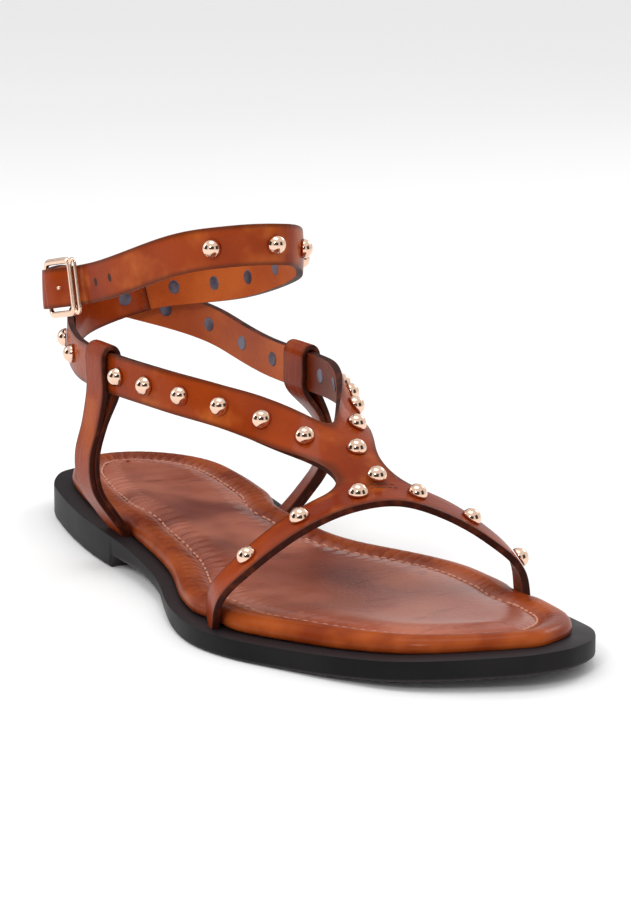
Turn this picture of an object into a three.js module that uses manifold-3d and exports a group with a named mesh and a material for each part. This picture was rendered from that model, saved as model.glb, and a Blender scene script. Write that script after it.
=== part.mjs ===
// Studded flat sandal, right foot, open toe, buckled round the ankle.
// Millimetres. +X runs to the toe, +Y to the inner side of the foot, +Z up.
// The origin is the middle of the heel's underside, on the floor.

import * as THREE from 'three';
import { mergeVertices } from 'three/addons/utils/BufferGeometryUtils.js';
import Module from 'manifold-3d';

// Driving sizes of the sole
const outsoleLength = 258;
const ballWidth = 96.4;
const heelCentre = 31;
const heelHeight = 10.3;
const soleThickness = 5.9;
const toeSpring = 4;
const heelLength = 87;
const breastSlant = 2.4;
const edgeBevel = 0.8;
const waistUndercut = 2.4;
const archTail = 0.12;

// Driving sizes of the footbed
const weltWidth = 4.8;
const toeWelt = 5;
const footbedThickness = 4.8;
const rimWidth = 9.4;
const channelDepth = 1.1;
const footSetback = 0.2;
const slopeReach = 4;

// Driving sizes of the straps
const toeArchRise = 34;
const ankleRise = 94;
const strapWidth = 12;
const strapThickness = 2;
const lastingTab = 9;
const lapLength = 14;
const lapThickness = 1;
const innerLap = 4.5;
const lapSink = 0.1;
const keeperToLap = 1;
const tipTaper = 2;
const edgeRound = 0.55;

// Driving sizes of the keepers that hold the branches to the sole
const keeperWidth = 12;
const keeperPly = 1.7;
const keeperSlack = 0.45;
const lateralBow = 9;
const medialBow = 11;
const loopCorner = 0.5;

// Driving sizes of the buckle and the studs
const buckleWindow = 12.6;
const buckleHeight = 18;
const buckleBar = 2;
const buckleThickness = 1.2;
const buckleSlot = 1.5;
const buckleCorner = 2.6;
const windowCorner = 1;
const slotCorner = 0.6;
const weaveSlack = 0.8;
const foldPly = 1;
const foldCorner = 0.25;
const pinDiameter = 1.8;
const pinProud = 0.7;
const pinSlack = 0.2;
const pinSides = 10;
const studDiameter = 5.6;
const studHeight = 3.1;
const studWall = 0.3;
const studSides = 10;
const studRings = 4;
const crossingClearance = 0.85;

// Air between pieces that touch, and how finely curves are cut
const gap = 0.3;
const stationStep = 0.03;
const strapStep = 5.5;
const archSteps = 10;
const curveDivisions = 600;
const searchSteps = 60;

// Plan of the outsole: distance from the back, middle line and half width,
// as shares of the outsole's length and of the ball width
const outline = [
  { along: 0.000, middle: -0.010, half: 0.070 },
  { along: 0.008, middle: -0.010, half: 0.135 },
  { along: 0.030, middle: 0.000, half: 0.203 },
  { along: 0.070, middle: 0.002, half: 0.270 },
  { along: 0.120, middle: -0.003, half: 0.309 },
  { along: 0.200, middle: -0.038, half: 0.330 },
  { along: 0.300, middle: -0.086, half: 0.330 },
  { along: 0.400, middle: -0.124, half: 0.316 },
  { along: 0.500, middle: -0.140, half: 0.350 },
  { along: 0.600, middle: -0.132, half: 0.455 },
  { along: 0.680, middle: -0.128, half: 0.500 },
  { along: 0.740, middle: -0.118, half: 0.486 },
  { along: 0.800, middle: -0.092, half: 0.448 },
  { along: 0.880, middle: -0.060, half: 0.384 },
  { along: 0.940, middle: -0.027, half: 0.303 },
  { along: 0.980, middle: 0.012, half: 0.172 },
  { along: 1.000, middle: 0.020, half: 0.062 },
];

// Where the welt's top drops from heel height to sole thickness,
// and where the toe starts to spring, as shares of the length
const dropStart = 0.28;
const dropEnd = 0.60;
const springStart = 0.72;

// Where the waist's undercut fades in and out, as shares of the length,
// and how much of its slant the heel's breast keeps at the floor
const undercutIn = { from: 0.34, to: 0.44 };
const undercutOut = { from: 0.52, to: 0.64 };
const breastFoot = 0.3;

// Footbed section from the middle of its underside, out and over the rim:
// inward from the edge as a share of the rim width, up as a share of the thickness.
// The row of the channel lies its depth under the top.
const footbedSection = [
  { inward: 0.16, up: 0.00 },
  { inward: 0.03, up: 0.22 },
  { inward: 0.00, up: 0.50 },
  { inward: 0.07, up: 0.80 },
  { inward: 0.27, up: 0.98 },
  { inward: 0.55, up: 1.00 },
  { inward: 0.88, up: 0.86 },
  { inward: 1.00, up: 1.00, channel: true },
  { inward: 1.14, up: 0.86 },
  { inward: 1.60, up: 0.97 },
];

// At its narrow ends the footbed's rim is squeezed where half the width holds
// fewer rim widths than this, and the top comes down to this share
const rimSqueeze = 1.75;
const endFullness = 0.45;

// Toe strap, outer side to inner side: rise is a share of the arch's rise,
// lean is how far the strap dips towards the toes, in degrees
const toeStrapRows = [
  { along: 0.698, across: -0.572, rise: 0.29, lean: 2 },
  { along: 0.714, across: -0.494, rise: 0.55, lean: 6 },
  { along: 0.729, across: -0.358, rise: 0.83, lean: 10 },
  { along: 0.739, across: -0.215, rise: 0.985, lean: 12 },
  { along: 0.745, across: -0.060, rise: 1.00, lean: 12 },
  { along: 0.755, across: 0.080, rise: 0.855, lean: 10 },
  { along: 0.770, across: 0.204, rise: 0.62, lean: 6 },
  { along: 0.786, across: 0.290, rise: 0.35, lean: 2 },
];
const toeStrapFoot = { lateral: 0.680, medial: 0.798 };

// Straps over the instep and round the ankle: up is 0 at the toe strap's arch
// and 1 at the front of the ankle, stand is 0 where the strap lies flat on the
// instep and 90 where it stands on edge, in degrees
const medialRows = [
  { along: 0.748, across: -0.078, up: 0.00, stand: 6 },
  { along: 0.722, across: -0.090, up: 0.055, stand: 4 },
  { along: 0.679, across: -0.084, up: 0.128, stand: 8 },
  { along: 0.636, across: -0.018, up: 0.205, stand: 30 },
  { along: 0.581, across: 0.060, up: 0.258, stand: 56 },
  { along: 0.527, across: 0.124, up: 0.272, stand: 74 },
  { along: 0.467, across: 0.182, up: 0.256, stand: 86 },
  { along: 0.415, across: 0.207, up: 0.232, stand: 90 },
  { along: 0.376, across: 0.213, up: 0.217, stand: 90 },
  { along: 0.341, across: 0.212, up: 0.210, stand: 90 },
  { along: 0.295, across: 0.208, up: 0.214, stand: 90 },
  { along: 0.244, across: 0.204, up: 0.242, stand: 90 },
  { along: 0.186, across: 0.190, up: 0.292, stand: 90 },
  { along: 0.139, across: 0.155, up: 0.325, stand: 90 },
  { along: 0.096, across: 0.084, up: 0.362, stand: 90 },
  { along: 0.073, across: -0.010, up: 0.408, stand: 90 },
  { along: 0.072, across: -0.092, up: 0.464, stand: 90 },
  { along: 0.085, across: -0.170, up: 0.498, stand: 90 },
  { along: 0.108, across: -0.246, up: 0.530, stand: 90 },
  { along: 0.138, across: -0.320, up: 0.560, stand: 90 },
];
const lateralRows = [
  { along: 0.713, across: -0.090, up: 0.060, stand: 6 },
  { along: 0.680, across: -0.122, up: 0.118, stand: 12 },
  { along: 0.637, across: -0.197, up: 0.204, stand: 44 },
  { along: 0.587, across: -0.278, up: 0.272, stand: 66 },
  { along: 0.543, across: -0.344, up: 0.305, stand: 79 },
  { along: 0.494, across: -0.402, up: 0.315, stand: 86 },
  { along: 0.453, across: -0.436, up: 0.318, stand: 90 },
  { along: 0.399, across: -0.457, up: 0.307, stand: 90 },
  { along: 0.341, across: -0.457, up: 0.293, stand: 90 },
  { along: 0.287, across: -0.434, up: 0.277, stand: 90 },
  { along: 0.234, across: -0.395, up: 0.278, stand: 90 },
  { along: 0.171, across: -0.334, up: 0.312, stand: 90 },
  { along: 0.120, across: -0.240, up: 0.346, stand: 90 },
  { along: 0.093, across: -0.150, up: 0.368, stand: 90 },
  { along: 0.087, across: -0.046, up: 0.406, stand: 90 },
  { along: 0.101, across: 0.047, up: 0.452, stand: 90 },
  { along: 0.136, across: 0.112, up: 0.488, stand: 90 },
  { along: 0.186, across: 0.156, up: 0.528, stand: 90 },
  { along: 0.248, across: 0.184, up: 0.584, stand: 90 },
  { along: 0.310, across: 0.191, up: 0.664, stand: 90 },
  { along: 0.364, across: 0.178, up: 0.748, stand: 90 },
  { along: 0.419, across: 0.135, up: 0.838, stand: 90 },
  { along: 0.461, across: 0.070, up: 0.928, stand: 90 },
  { along: 0.492, across: -0.012, up: 0.984, stand: 90 },
  { along: 0.501, across: -0.088, up: 1.004, stand: 90 },
  { along: 0.494, across: -0.154, up: 1.003, stand: 90 },
  { along: 0.478, across: -0.205, up: 0.986, stand: 90 },
  { along: 0.451, across: -0.262, up: 0.954, stand: 90 },
  { along: 0.417, across: -0.300, up: 0.900, stand: 90 },
  { along: 0.380, across: -0.327, up: 0.832, stand: 90 },
  { along: 0.337, across: -0.358, up: 0.750, stand: 90 },
  { along: 0.295, across: -0.380, up: 0.684, stand: 90 },
  { along: 0.252, across: -0.398, up: 0.636, stand: 90 },
  { along: 0.205, across: -0.410, up: 0.594, stand: 90 },
  { along: 0.176, across: -0.410, up: 0.568, stand: 90 },
];

// Doubled posts from the sole up to the keepers: climb is the share of the way
// up, bow is outwards and sway is towards the toe, as shares of the post's bow
const lateralPostRows = [
  { climb: 0.16, bow: 0.55, sway: -0.03 },
  { climb: 0.36, bow: 1.00, sway: 0.02 },
  { climb: 0.58, bow: 0.96, sway: 0.06 },
  { climb: 0.81, bow: 0.50, sway: 0.05 },
];
const medialPostRows = [
  { climb: 0.18, bow: 0.62, sway: 0.04 },
  { climb: 0.40, bow: 1.00, sway: 0.16 },
  { climb: 0.62, bow: 0.96, sway: 0.24 },
  { climb: 0.82, bow: 0.58, sway: 0.18 },
];
const postFoot = { lateral: 0.330, medial: 0.362 };
const postTwist = { lateral: 0, medial: 14 };
const keeperAlong = { lateral: 0.354, medial: 0.374 };
const postTurn = 0.6;

// Shares of a strap's length near which the keepers and the buckle are looked for,
// and how far to both sides
const keeperNear = { lateral: 0.24, medial: 0.43 };
const keeperReach = 0.08;
const buckleAlong = 0.215;
const buckleNear = 0.96;
const buckleReach = 0.04;

// Where the lap in the long strap ends, and where the two ankle straps cross,
// as shares of the long strap's length
const lapShare = 0.478;
const crossingShare = 0.46;
const crossingStep = 0.0005;

// The strap's end narrows by this share, and its thickness is rounded off by this one
const tipNarrowing = 0.25;
const roundShare = 0.6;

// Shares of the buckle's bar: the front bar's width and the pin's root
const frontBarShare = 0.8;
const pinRootShare = 0.7;

// Run of the strap into the buckle, as a share of the window, and the fold's
// lead-in, end, corner, slot length and slot place, as shares of its own size
const weaveRun = 2.6;
const foldLead = 2.2;
const foldEnd = 0.86;
const foldRound = 0.9;
const foldSlot = { length: 1.6, place: 0.85 };

// Width of a stud's foot as a share of its head
const studFoot = 0.9;

// Cutting tools are this many times as long as what they pass through
const cutReach = 4;

// Rows of studs: shares of the named strap's length, how many they hold,
// and the air under their heads, wider where the strap twists.
// The ankle's row has no start: it begins where it is clear of the inner strap.
const studRows = [
  { row: 'toe_stud', strap: 'toe', from: 0.190, to: 0.895, count: 6, seat: 0.3 },
  { row: 'instep_stud', strap: 'medial', from: 0.030, to: 0.372, count: 7, seat: 0.6 },
  { row: 'inner_stud', strap: 'medial', from: 0.497, to: 0.722, count: 4, seat: 0.3 },
  { row: 'outer_stud', strap: 'lateral', from: 0.055, to: 0.2215, count: 6, seat: 0.6 },
  { row: 'heel_stud', strap: 'lateral', from: 0.320, to: 0.361, count: 2, seat: 0.3 },
  { row: 'ankle_stud', strap: 'lateral', to: 0.808, count: 8, seat: 0.3 },
];

const wasm = await Module();
wasm.setup();

// Value of one column of a table at a place along it, as a smooth curve
function columnAt(rows, key, column, place) {
  const last = rows.length - 1;
  let i = 0;
  while (i < last - 1 && place > rows[i + 1][key]) {
    i += 1;
  }
  const slope = (a, b) => (rows[b][column] - rows[a][column]) / (rows[b][key] - rows[a][key]);
  const span = rows[i + 1][key] - rows[i][key];
  const here = slope(i, i + 1);
  const start = i > 0 ? (slope(i - 1, i) + here) / 2 : here;
  const end = i < last - 1 ? (here + slope(i + 1, i + 2)) / 2 : here;
  const t = (place - rows[i][key]) / span;
  const a = rows[i][column];
  const b = rows[i + 1][column];
  const rise = t * t * (3 - 2 * t);
  return a + (b - a) * rise + span * t * (1 - t) * (start * (1 - t) - end * t);
}

// Height of the welt's top over the floor at a share of the length
function deckHeight(along) {
  const drop = THREE.MathUtils.smoothstep(along, dropStart, dropEnd);
  return heelHeight + (soleThickness - heelHeight) * drop + springHeight(along);
}

// Lift of the toe off the floor at a share of the length
function springHeight(along) {
  const reach = Math.max(0, (along - springStart) / (1 - springStart));
  return toeSpring * reach * reach;
}

// Side edge of the outsole at a share of the length: side is -1 outer, +1 inner
function edgeAt(along, side) {
  const middle = columnAt(outline, 'along', 'middle', along);
  const half = columnAt(outline, 'along', 'half', along);
  return (middle + side * half) * ballWidth;
}

// Shares of the length at which the sole pieces are cut into sections
function stations() {
  const list = [outline[0].along];
  for (let i = 1; i < outline.length; i += 1) {
    const from = outline[i - 1].along;
    const span = outline[i].along - from;
    const cuts = Math.max(1, Math.round(span / stationStep));
    for (let k = 1; k <= cuts; k += 1) {
      list.push(from + (span * k) / cuts);
    }
  }
  return list;
}

// Closed body through rings of points, all with the same count and direction
function loft(rings) {
  const count = rings[0].length;
  const positions = rings.flat().flatMap((p) => [p.x, p.y, p.z]);
  const index = [];
  for (let r = 0; r < rings.length - 1; r += 1) {
    for (let k = 0; k < count; k += 1) {
      const a = r * count + k;
      const b = r * count + ((k + 1) % count);
      index.push(a, b, a + count, b, b + count, a + count);
    }
  }
  const end = (rings.length - 1) * count;
  for (let k = 1; k < count - 1; k += 1) {
    index.push(0, k + 1, k);
    index.push(end, end + k, end + k + 1);
  }
  const geometry = new THREE.BufferGeometry();
  geometry.setAttribute('position', new THREE.Float32BufferAttribute(positions, 3));
  geometry.setIndex(index);
  return geometry;
}

// Geometry to solid and back, for the joins and cuts
function solid(geometry) {
  const bare = geometry.clone();
  bare.deleteAttribute('normal');
  bare.deleteAttribute('uv');
  const merged = mergeVertices(bare, 1e-4);
  const vertProperties = new Float32Array(merged.attributes.position.array);
  const triVerts = new Uint32Array(merged.index.array);
  const made = new wasm.Manifold(new wasm.Mesh({ numProp: 3, vertProperties, triVerts }));
  return made.volume() < 0 ? solid(flipped(merged)) : made;
}

function flipped(geometry) {
  const turned = geometry.clone();
  const index = Array.from(geometry.index.array);
  for (let i = 0; i < index.length; i += 3) {
    [index[i], index[i + 1]] = [index[i + 1], index[i]];
  }
  turned.setIndex(index);
  return turned;
}

function geometryOf(body) {
  const mesh = body.getMesh();
  const geometry = new THREE.BufferGeometry();
  geometry.setAttribute('position', new THREE.BufferAttribute(mesh.vertProperties, 3));
  geometry.setIndex(new THREE.BufferAttribute(mesh.triVerts, 1));
  geometry.computeVertexNormals();
  return geometry;
}

// Outsole: one moulded unit with its low heel
function outsoleBody() {
  const rings = stations().map((along) => {
    const x = along * outsoleLength - heelCentre;
    const left = edgeAt(along, -1);
    const right = edgeAt(along, 1);
    const top = deckHeight(along);
    const low = springHeight(along);
    const waist = THREE.MathUtils.smoothstep(along, undercutIn.from, undercutIn.to)
      * (1 - THREE.MathUtils.smoothstep(along, undercutOut.from, undercutOut.to));
    const tuck = edgeBevel + waistUndercut * waist;
    const point = (y, z) => new THREE.Vector3(x, y, z);
    return [
      point(left + tuck, low),
      point(right - tuck, low),
      point(right, low + edgeBevel + waistUndercut * waist),
      point(right, top - edgeBevel / 2),
      point(right - edgeBevel / 2, top),
      point(left + edgeBevel / 2, top),
      point(left, top - edgeBevel / 2),
      point(left, low + edgeBevel + waistUndercut * waist),
    ];
  });
  return solid(loft(rings)).subtract(archCutter());
}

// Block that takes the waist off the floor, between the heel's breast and the ball
function archCutter() {
  const breast = heelLength / outsoleLength;
  const slanted = (heelLength + breastSlant) / outsoleLength;
  const below = -edgeBevel;
  const shape = new THREE.Shape();
  shape.moveTo(heelLength - breastSlant * breastFoot - heelCentre, below);
  for (let k = archSteps; k >= 0; k -= 1) {
    const along = slanted + ((dropEnd - slanted) * k) / archSteps;
    const z = deckHeight(along) - soleThickness - archTail;
    if (k === archSteps) {
      shape.lineTo(along * outsoleLength - heelCentre, below);
    }
    shape.lineTo(along * outsoleLength - heelCentre, z);
  }
  shape.lineTo(breast * outsoleLength - heelCentre, 0);
  const block = new THREE.ExtrudeGeometry(shape, { depth: 2 * ballWidth, bevelEnabled: false });
  block.rotateX(Math.PI / 2);
  block.translate(0, ballWidth, 0);
  return solid(block);
}

// The outsole lifted by the clearance, to trim the feet that stand on it
function deckRelief() {
  return outsoleBody().translate([0, 0, gap]);
}

// Footbed: padded insole with a rolled rim and a stitched channel inside it
function footbedBody() {
  const length = outsoleLength - weltWidth - toeWelt;
  const rings = stations().map((share) => {
    const along = (weltWidth + share * length) / outsoleLength;
    const middle = columnAt(outline, 'along', 'middle', share) * ballWidth;
    const half = columnAt(outline, 'along', 'half', share) * ballWidth - weltWidth;
    const squeeze = Math.min(1, half / (rimSqueeze * rimWidth));
    const base = deckHeight(along) + gap;
    const end = Math.min(1, endFullness + half / (2 * rimWidth));
    const side = (sign) => footbedSection.map((row) => {
      const y = middle + sign * (half - row.inward * rimWidth * squeeze);
      const dip = row.up > 0.5 ? end : 1;
      const full = row.channel ? 1 - channelDepth / footbedThickness : row.up;
      const z = base + full * dip * footbedThickness;
      return new THREE.Vector3(along * outsoleLength - heelCentre, y, z);
    });
    return [...side(1), ...side(-1).reverse()];
  });
  return solid(loft(rings));
}

// Frames along a strap: its point, running direction, width direction and outer face
function framesOf(strap) {
  const curve = new THREE.CatmullRomCurve3(strap.points, false, 'centripetal');
  curve.arcLengthDivisions = curveDivisions;
  const length = curve.getLength();
  const steps = Math.ceil(length / strapStep);
  const frameAt = (share) => {
    const t = curve.getUtoTmapping(THREE.MathUtils.clamp(share, 0, 1));
    const point = curve.getPoint(t);
    const along = curve.getTangent(t).normalize();
    const width = strap.across(along, t).normalize();
    width.addScaledVector(along, -width.dot(along)).normalize();
    const face = new THREE.Vector3().crossVectors(along, width).multiplyScalar(strap.side);
    const shift = strap.shift ? strap.shift(share * length) : 0;
    point.addScaledVector(face, shift);
    return { point, along, width, face, share, at: share * length };
  };
  return { frameAt, length, steps };
}

// Flat strap swept through its frames: size grows it all round, for its clearance cut
function strapBody(strap, options = {}) {
  const { frameAt, length, steps } = framesOf(strap);
  const grow = options.grow ?? 0;
  const from = options.from ?? 0;
  const to = options.to ?? 1;
  const halfWidth = strap.width / 2 + grow;
  const halfThick = (options.thickness ?? strap.thickness) / 2 + grow;
  const offset = options.offset ?? 0;
  const round = Math.min(edgeRound, halfThick * roundShare);
  const cuts = Math.max(1, Math.round(steps * (to - from)));
  const rings = [];
  for (let k = 0; k <= cuts; k += 1) {
    const share = from + ((to - from) * k) / cuts;
    const frame = frameAt(share);
    const taper = strap.taper ? strap.taper((1 - share) * length) : 1;
    const w = halfWidth * taper;
    const centre = frame.point.clone().addScaledVector(frame.face, offset);
    if (k === 0) {
      centre.addScaledVector(frame.along, -grow);
    }
    if (k === cuts) {
      centre.addScaledVector(frame.along, grow);
    }
    const corner = (a, b) => (
      centre.clone().addScaledVector(frame.width, a).addScaledVector(frame.face, b)
    );
    rings.push([
      corner(w - round, -halfThick),
      corner(w, -halfThick + round),
      corner(w, halfThick - round),
      corner(w - round, halfThick),
      corner(-w + round, halfThick),
      corner(-w, halfThick - round),
      corner(-w, -halfThick + round),
      corner(-w + round, -halfThick),
    ]);
  }
  return solid(loft(rings));
}

// Place of a row over the welt: lengthwise, sideways, and up from the welt
function place(along, across, up) {
  const x = along * outsoleLength - heelCentre;
  return new THREE.Vector3(x, across, deckHeight(along) + up);
}

// Where a strap goes down between footbed and welt: its middle stands this far in
const footInset = weltWidth + footSetback + strapThickness / 2;

function footOf(along, side) {
  return place(along, edgeAt(along, side) - side * footInset, gap);
}

// Lean or stand angle at a share of a strap's rows, in radians
function angleAt(rows, column, t) {
  const spot = THREE.MathUtils.clamp(t, 0, 1) * (rows.length - 1);
  const i = Math.min(rows.length - 2, Math.floor(spot));
  const part = spot - i;
  const degrees = rows[i][column] * (1 - part) + rows[i + 1][column] * part;
  return THREE.MathUtils.degToRad(degrees);
}

function toeStrap() {
  const start = footOf(toeStrapFoot.lateral, -1);
  const end = footOf(toeStrapFoot.medial, 1);
  const middle = toeStrapRows.map((row) => (
    place(row.along, row.across * ballWidth, row.rise * toeArchRise)
  ));
  const chord = new THREE.Vector3().subVectors(end, start).setZ(0).normalize();
  const toHeel = new THREE.Vector3(-chord.y, chord.x, 0);
  return {
    points: [start, ...middle, end],
    width: strapWidth,
    thickness: strapThickness,
    side: 1,
    across: (along, t) => {
      const lean = angleAt(toeStrapRows, 'lean', t);
      return toHeel.clone().multiplyScalar(Math.cos(lean)).setZ(Math.sin(lean));
    },
  };
}

// Strap over the instep or round the ankle, on the outer (-1) or inner (+1) side
function ankleStrap(rows, side) {
  const points = rows.map((row) => (
    place(row.along, row.across * ballWidth, toeArchRise + row.up * (ankleRise - toeArchRise))
  ));
  const stands = rows.map(({ stand }) => ({ stand }));
  return {
    points,
    stands,
    width: strapWidth,
    thickness: strapThickness,
    side,
    across: (along, t) => {
      const stand = angleAt(stands, 'stand', t);
      const outward = new THREE.Vector3(along.y, -along.x, 0).normalize().multiplyScalar(side);
      return outward.multiplyScalar(-Math.cos(stand)).setZ(Math.sin(stand));
    },
  };
}

// Share of a strap's length at which it passes a share of the shoe's length
function shareAt(strap, along, nearShare, reach) {
  const { frameAt } = framesOf(strap);
  const x = along * outsoleLength - heelCentre;
  let best = nearShare;
  let least = Infinity;
  for (let k = -searchSteps; k <= searchSteps; k += 1) {
    const share = nearShare + (reach * k) / searchSteps;
    const miss = Math.abs(frameAt(share).point.x - x);
    if (miss < least) {
      least = miss;
      best = share;
    }
  }
  return best;
}

// Share past the crossing at which a stud on one strap is clear of the other strap
function shareClearOf(strap, other) {
  const walked = framesOf(strap);
  const crossed = framesOf(other);
  const middle = [];
  for (let k = 0; k <= curveDivisions; k += 1) {
    middle.push(crossed.frameAt(k / curveDivisions).point);
  }
  const nearest = new THREE.Vector3();
  const distance = (point) => {
    let least = Infinity;
    for (let k = 1; k < middle.length; k += 1) {
      const piece = new THREE.Line3(middle[k - 1], middle[k]);
      piece.closestPointToPoint(point, true, nearest);
      least = Math.min(least, nearest.distanceTo(point));
    }
    return least;
  };
  const clear = (other.width + studDiameter) / 2 + crossingClearance;
  let share = crossingShare;
  while (share < 1 && distance(walked.frameAt(share).point) < clear) {
    share += crossingStep;
  }
  return share;
}

// Tab that runs in under the footbed from a strap's foot, where it is lasted
function lastingTabBody(foot, side, run, width, thickness, grow = 0) {
  const across = new THREE.Vector3().copy(run).setZ(0).normalize();
  const inward = new THREE.Vector3().crossVectors(across, new THREE.Vector3(0, 0, 1));
  if (inward.y * side > 0) {
    inward.negate();
  }
  const reach = lastingTab + grow;
  const back = thickness / 2 + grow;
  const box = new THREE.BoxGeometry(width + 2 * grow, reach + back, thickness + 2 * grow);
  const ahead = deckHeight((foot.x + heelCentre + slopeReach) / outsoleLength);
  const behind = deckHeight((foot.x + heelCentre - slopeReach) / outsoleLength);
  const slope = (ahead - behind) / (2 * slopeReach);
  const basis = new THREE.Matrix4().makeBasis(
    new THREE.Vector3(across.x, across.y, across.x * slope).normalize(),
    new THREE.Vector3(inward.x, inward.y, inward.x * slope).normalize(),
    new THREE.Vector3(-slope, 0, 1).normalize(),
  );
  box.translate(0, (reach - back) / 2, thickness / 2);
  box.applyMatrix4(basis);
  box.translate(foot.x, foot.y, foot.z);
  return solid(box);
}

// The straps and where the keepers and the buckle sit on them
const straps = {
  toe: toeStrap(),
  medial: ankleStrap(medialRows, 1),
  lateral: ankleStrap(lateralRows, -1),
};
const lateralLength = framesOf(straps.lateral).length;
const buckleShare = shareAt(straps.lateral, buckleAlong, buckleNear, buckleReach);
const buckleAt = buckleShare * lateralLength;
const buckleFrame = framesOf(straps.lateral).frameAt(buckleShare);

// The ankle strap goes in under the buckle's front bar and out over its back bar
const underBar = buckleThickness / 2 + gap + strapThickness / 2;
const overFold = buckleThickness / 2 + gap + foldPly + gap + strapThickness / 2;
const weaveReach = buckleWindow / 2 - weaveSlack;
straps.lateral.shift = (at) => {
  const from = at - buckleAt;
  const across = THREE.MathUtils.smoothstep(from, -weaveReach, weaveReach);
  const ease = THREE.MathUtils.smoothstep(from, -buckleWindow * weaveRun, -buckleWindow);
  return ease * (-underBar * (1 - across) + overFold * across);
};
straps.lateral.taper = (left) => {
  const part = Math.max(0, 1 - left / tipTaper);
  return 1 - tipNarrowing * part * part;
};

// The inner strap ends in a fold round the buckle's back bar
const backBar = -(buckleWindow + buckleBar) / 2;
const toFront = buckleFrame.along.clone().negate();
const foldCentre = buckleFrame.point.clone().addScaledVector(toFront, backBar);
const foldOuter = buckleBar / 2 + gap + foldPly;
for (const back of [foldLead, foldEnd]) {
  straps.medial.points.push(foldCentre.clone().addScaledVector(toFront, -foldOuter * back));
  straps.medial.stands.push({ stand: 90 });
}

// Buckle's own frame as a matrix: x to the front, y up the strap, z outwards
function buckleMatrix() {
  const up = buckleFrame.width.clone();
  if (up.z < 0) {
    up.negate();
  }
  const out = new THREE.Vector3().crossVectors(toFront, up);
  const matrix = new THREE.Matrix4().makeBasis(toFront, up, out);
  return matrix.setPosition(buckleFrame.point);
}

function roundedBox(path, x0, x1, y0, y1, r) {
  path.moveTo(x0 + r, y0);
  path.lineTo(x1 - r, y0);
  path.quadraticCurveTo(x1, y0, x1, y0 + r);
  path.lineTo(x1, y1 - r);
  path.quadraticCurveTo(x1, y1, x1 - r, y1);
  path.lineTo(x0 + r, y1);
  path.quadraticCurveTo(x0, y1, x0, y1 - r);
  path.lineTo(x0, y0 + r);
  path.quadraticCurveTo(x0, y0, x0 + r, y0);
  return path;
}

// Buckle: a frame with a window for the strap, a slot in front, and a fixed pin
function buckleBody() {
  const half = buckleWindow / 2;
  const front = half + buckleBar + buckleSlot + buckleBar * frontBarShare;
  const tall = buckleHeight / 2;
  const plate = roundedBox(new THREE.Shape(), -half - buckleBar, front, -tall, tall, buckleCorner);
  const inner = tall - buckleBar;
  plate.holes.push(roundedBox(new THREE.Path(), -half, half, -inner, inner, windowCorner));
  const slotFrom = half + buckleBar;
  const slotTo = slotFrom + buckleSlot;
  plate.holes.push(roundedBox(new THREE.Path(), slotFrom, slotTo, -inner, inner, slotCorner));
  const ring = new THREE.ExtrudeGeometry(plate, {
    depth: buckleThickness,
    bevelEnabled: false,
    curveSegments: 4,
  });
  ring.translate(0, 0, -buckleThickness / 2);
  const strapInner = (overFold - underBar) / 2 - strapThickness / 2;
  const armTop = strapInner - gap - pinDiameter / 2;
  const armLow = armTop - buckleThickness;
  const arm = new THREE.BoxGeometry(half + pinDiameter / 2, pinDiameter, armTop - armLow);
  arm.translate(-half / 2 + pinDiameter / 4, 0, (armTop + armLow) / 2);
  const rootHeight = buckleThickness / 2 - armLow;
  const root = new THREE.BoxGeometry(buckleBar * pinRootShare, pinDiameter, rootHeight);
  root.translate(-half, 0, (buckleThickness / 2 + armLow) / 2);
  const tipLength = strapThickness + gap + pinProud + buckleThickness;
  const tip = new THREE.CylinderGeometry(pinDiameter / 2, pinDiameter / 2, tipLength, pinSides);
  tip.rotateX(Math.PI / 2);
  tip.translate(0, 0, armLow + tipLength / 2);
  const body = solid(ring).add(solid(arm)).add(solid(root)).add(solid(tip));
  return body.transform(buckleMatrix().toArray());
}

// Fold of the inner strap round the back bar, with a slot for the pin
function foldBody() {
  const outer = new THREE.Shape();
  const high = buckleThickness / 2 + gap + foldPly;
  roundedBox(outer, -foldOuter, foldOuter, -high, high, high * foldRound);
  const hole = new THREE.Path();
  const a = buckleBar / 2 + gap;
  const b = buckleThickness / 2 + gap;
  roundedBox(hole, -a, a, -b, b, foldCorner);
  outer.holes.push(hole);
  const ring = new THREE.ExtrudeGeometry(outer, {
    depth: strapWidth,
    bevelEnabled: false,
    curveSegments: 3,
  });
  ring.translate(0, 0, -strapWidth / 2);
  ring.rotateX(Math.PI / 2);
  ring.translate(backBar, 0, 0);
  const slotWidth = pinDiameter + 2 * gap + 2 * pinSlack;
  const slot = new THREE.BoxGeometry(foldOuter * foldSlot.length, slotWidth, high * cutReach);
  slot.translate(backBar + foldOuter * foldSlot.place, 0, 0);
  return solid(ring).subtract(solid(slot)).transform(buckleMatrix().toArray());
}

function pinHole() {
  const radius = pinDiameter / 2 + gap;
  const hole = new THREE.CylinderGeometry(radius, radius, strapThickness * cutReach, pinSides);
  hole.rotateX(Math.PI / 2);
  hole.applyMatrix4(buckleMatrix());
  return solid(hole);
}

// Clear space that the straps' end must leave round the buckle
function buckleRelief() {
  const half = buckleWindow / 2;
  const bar = new THREE.BoxGeometry(buckleBar + 2 * gap, buckleHeight, buckleThickness + 2 * gap);
  bar.translate(-half - buckleBar / 2, 0, 0);
  bar.applyMatrix4(buckleMatrix());
  return solid(bar);
}

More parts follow.
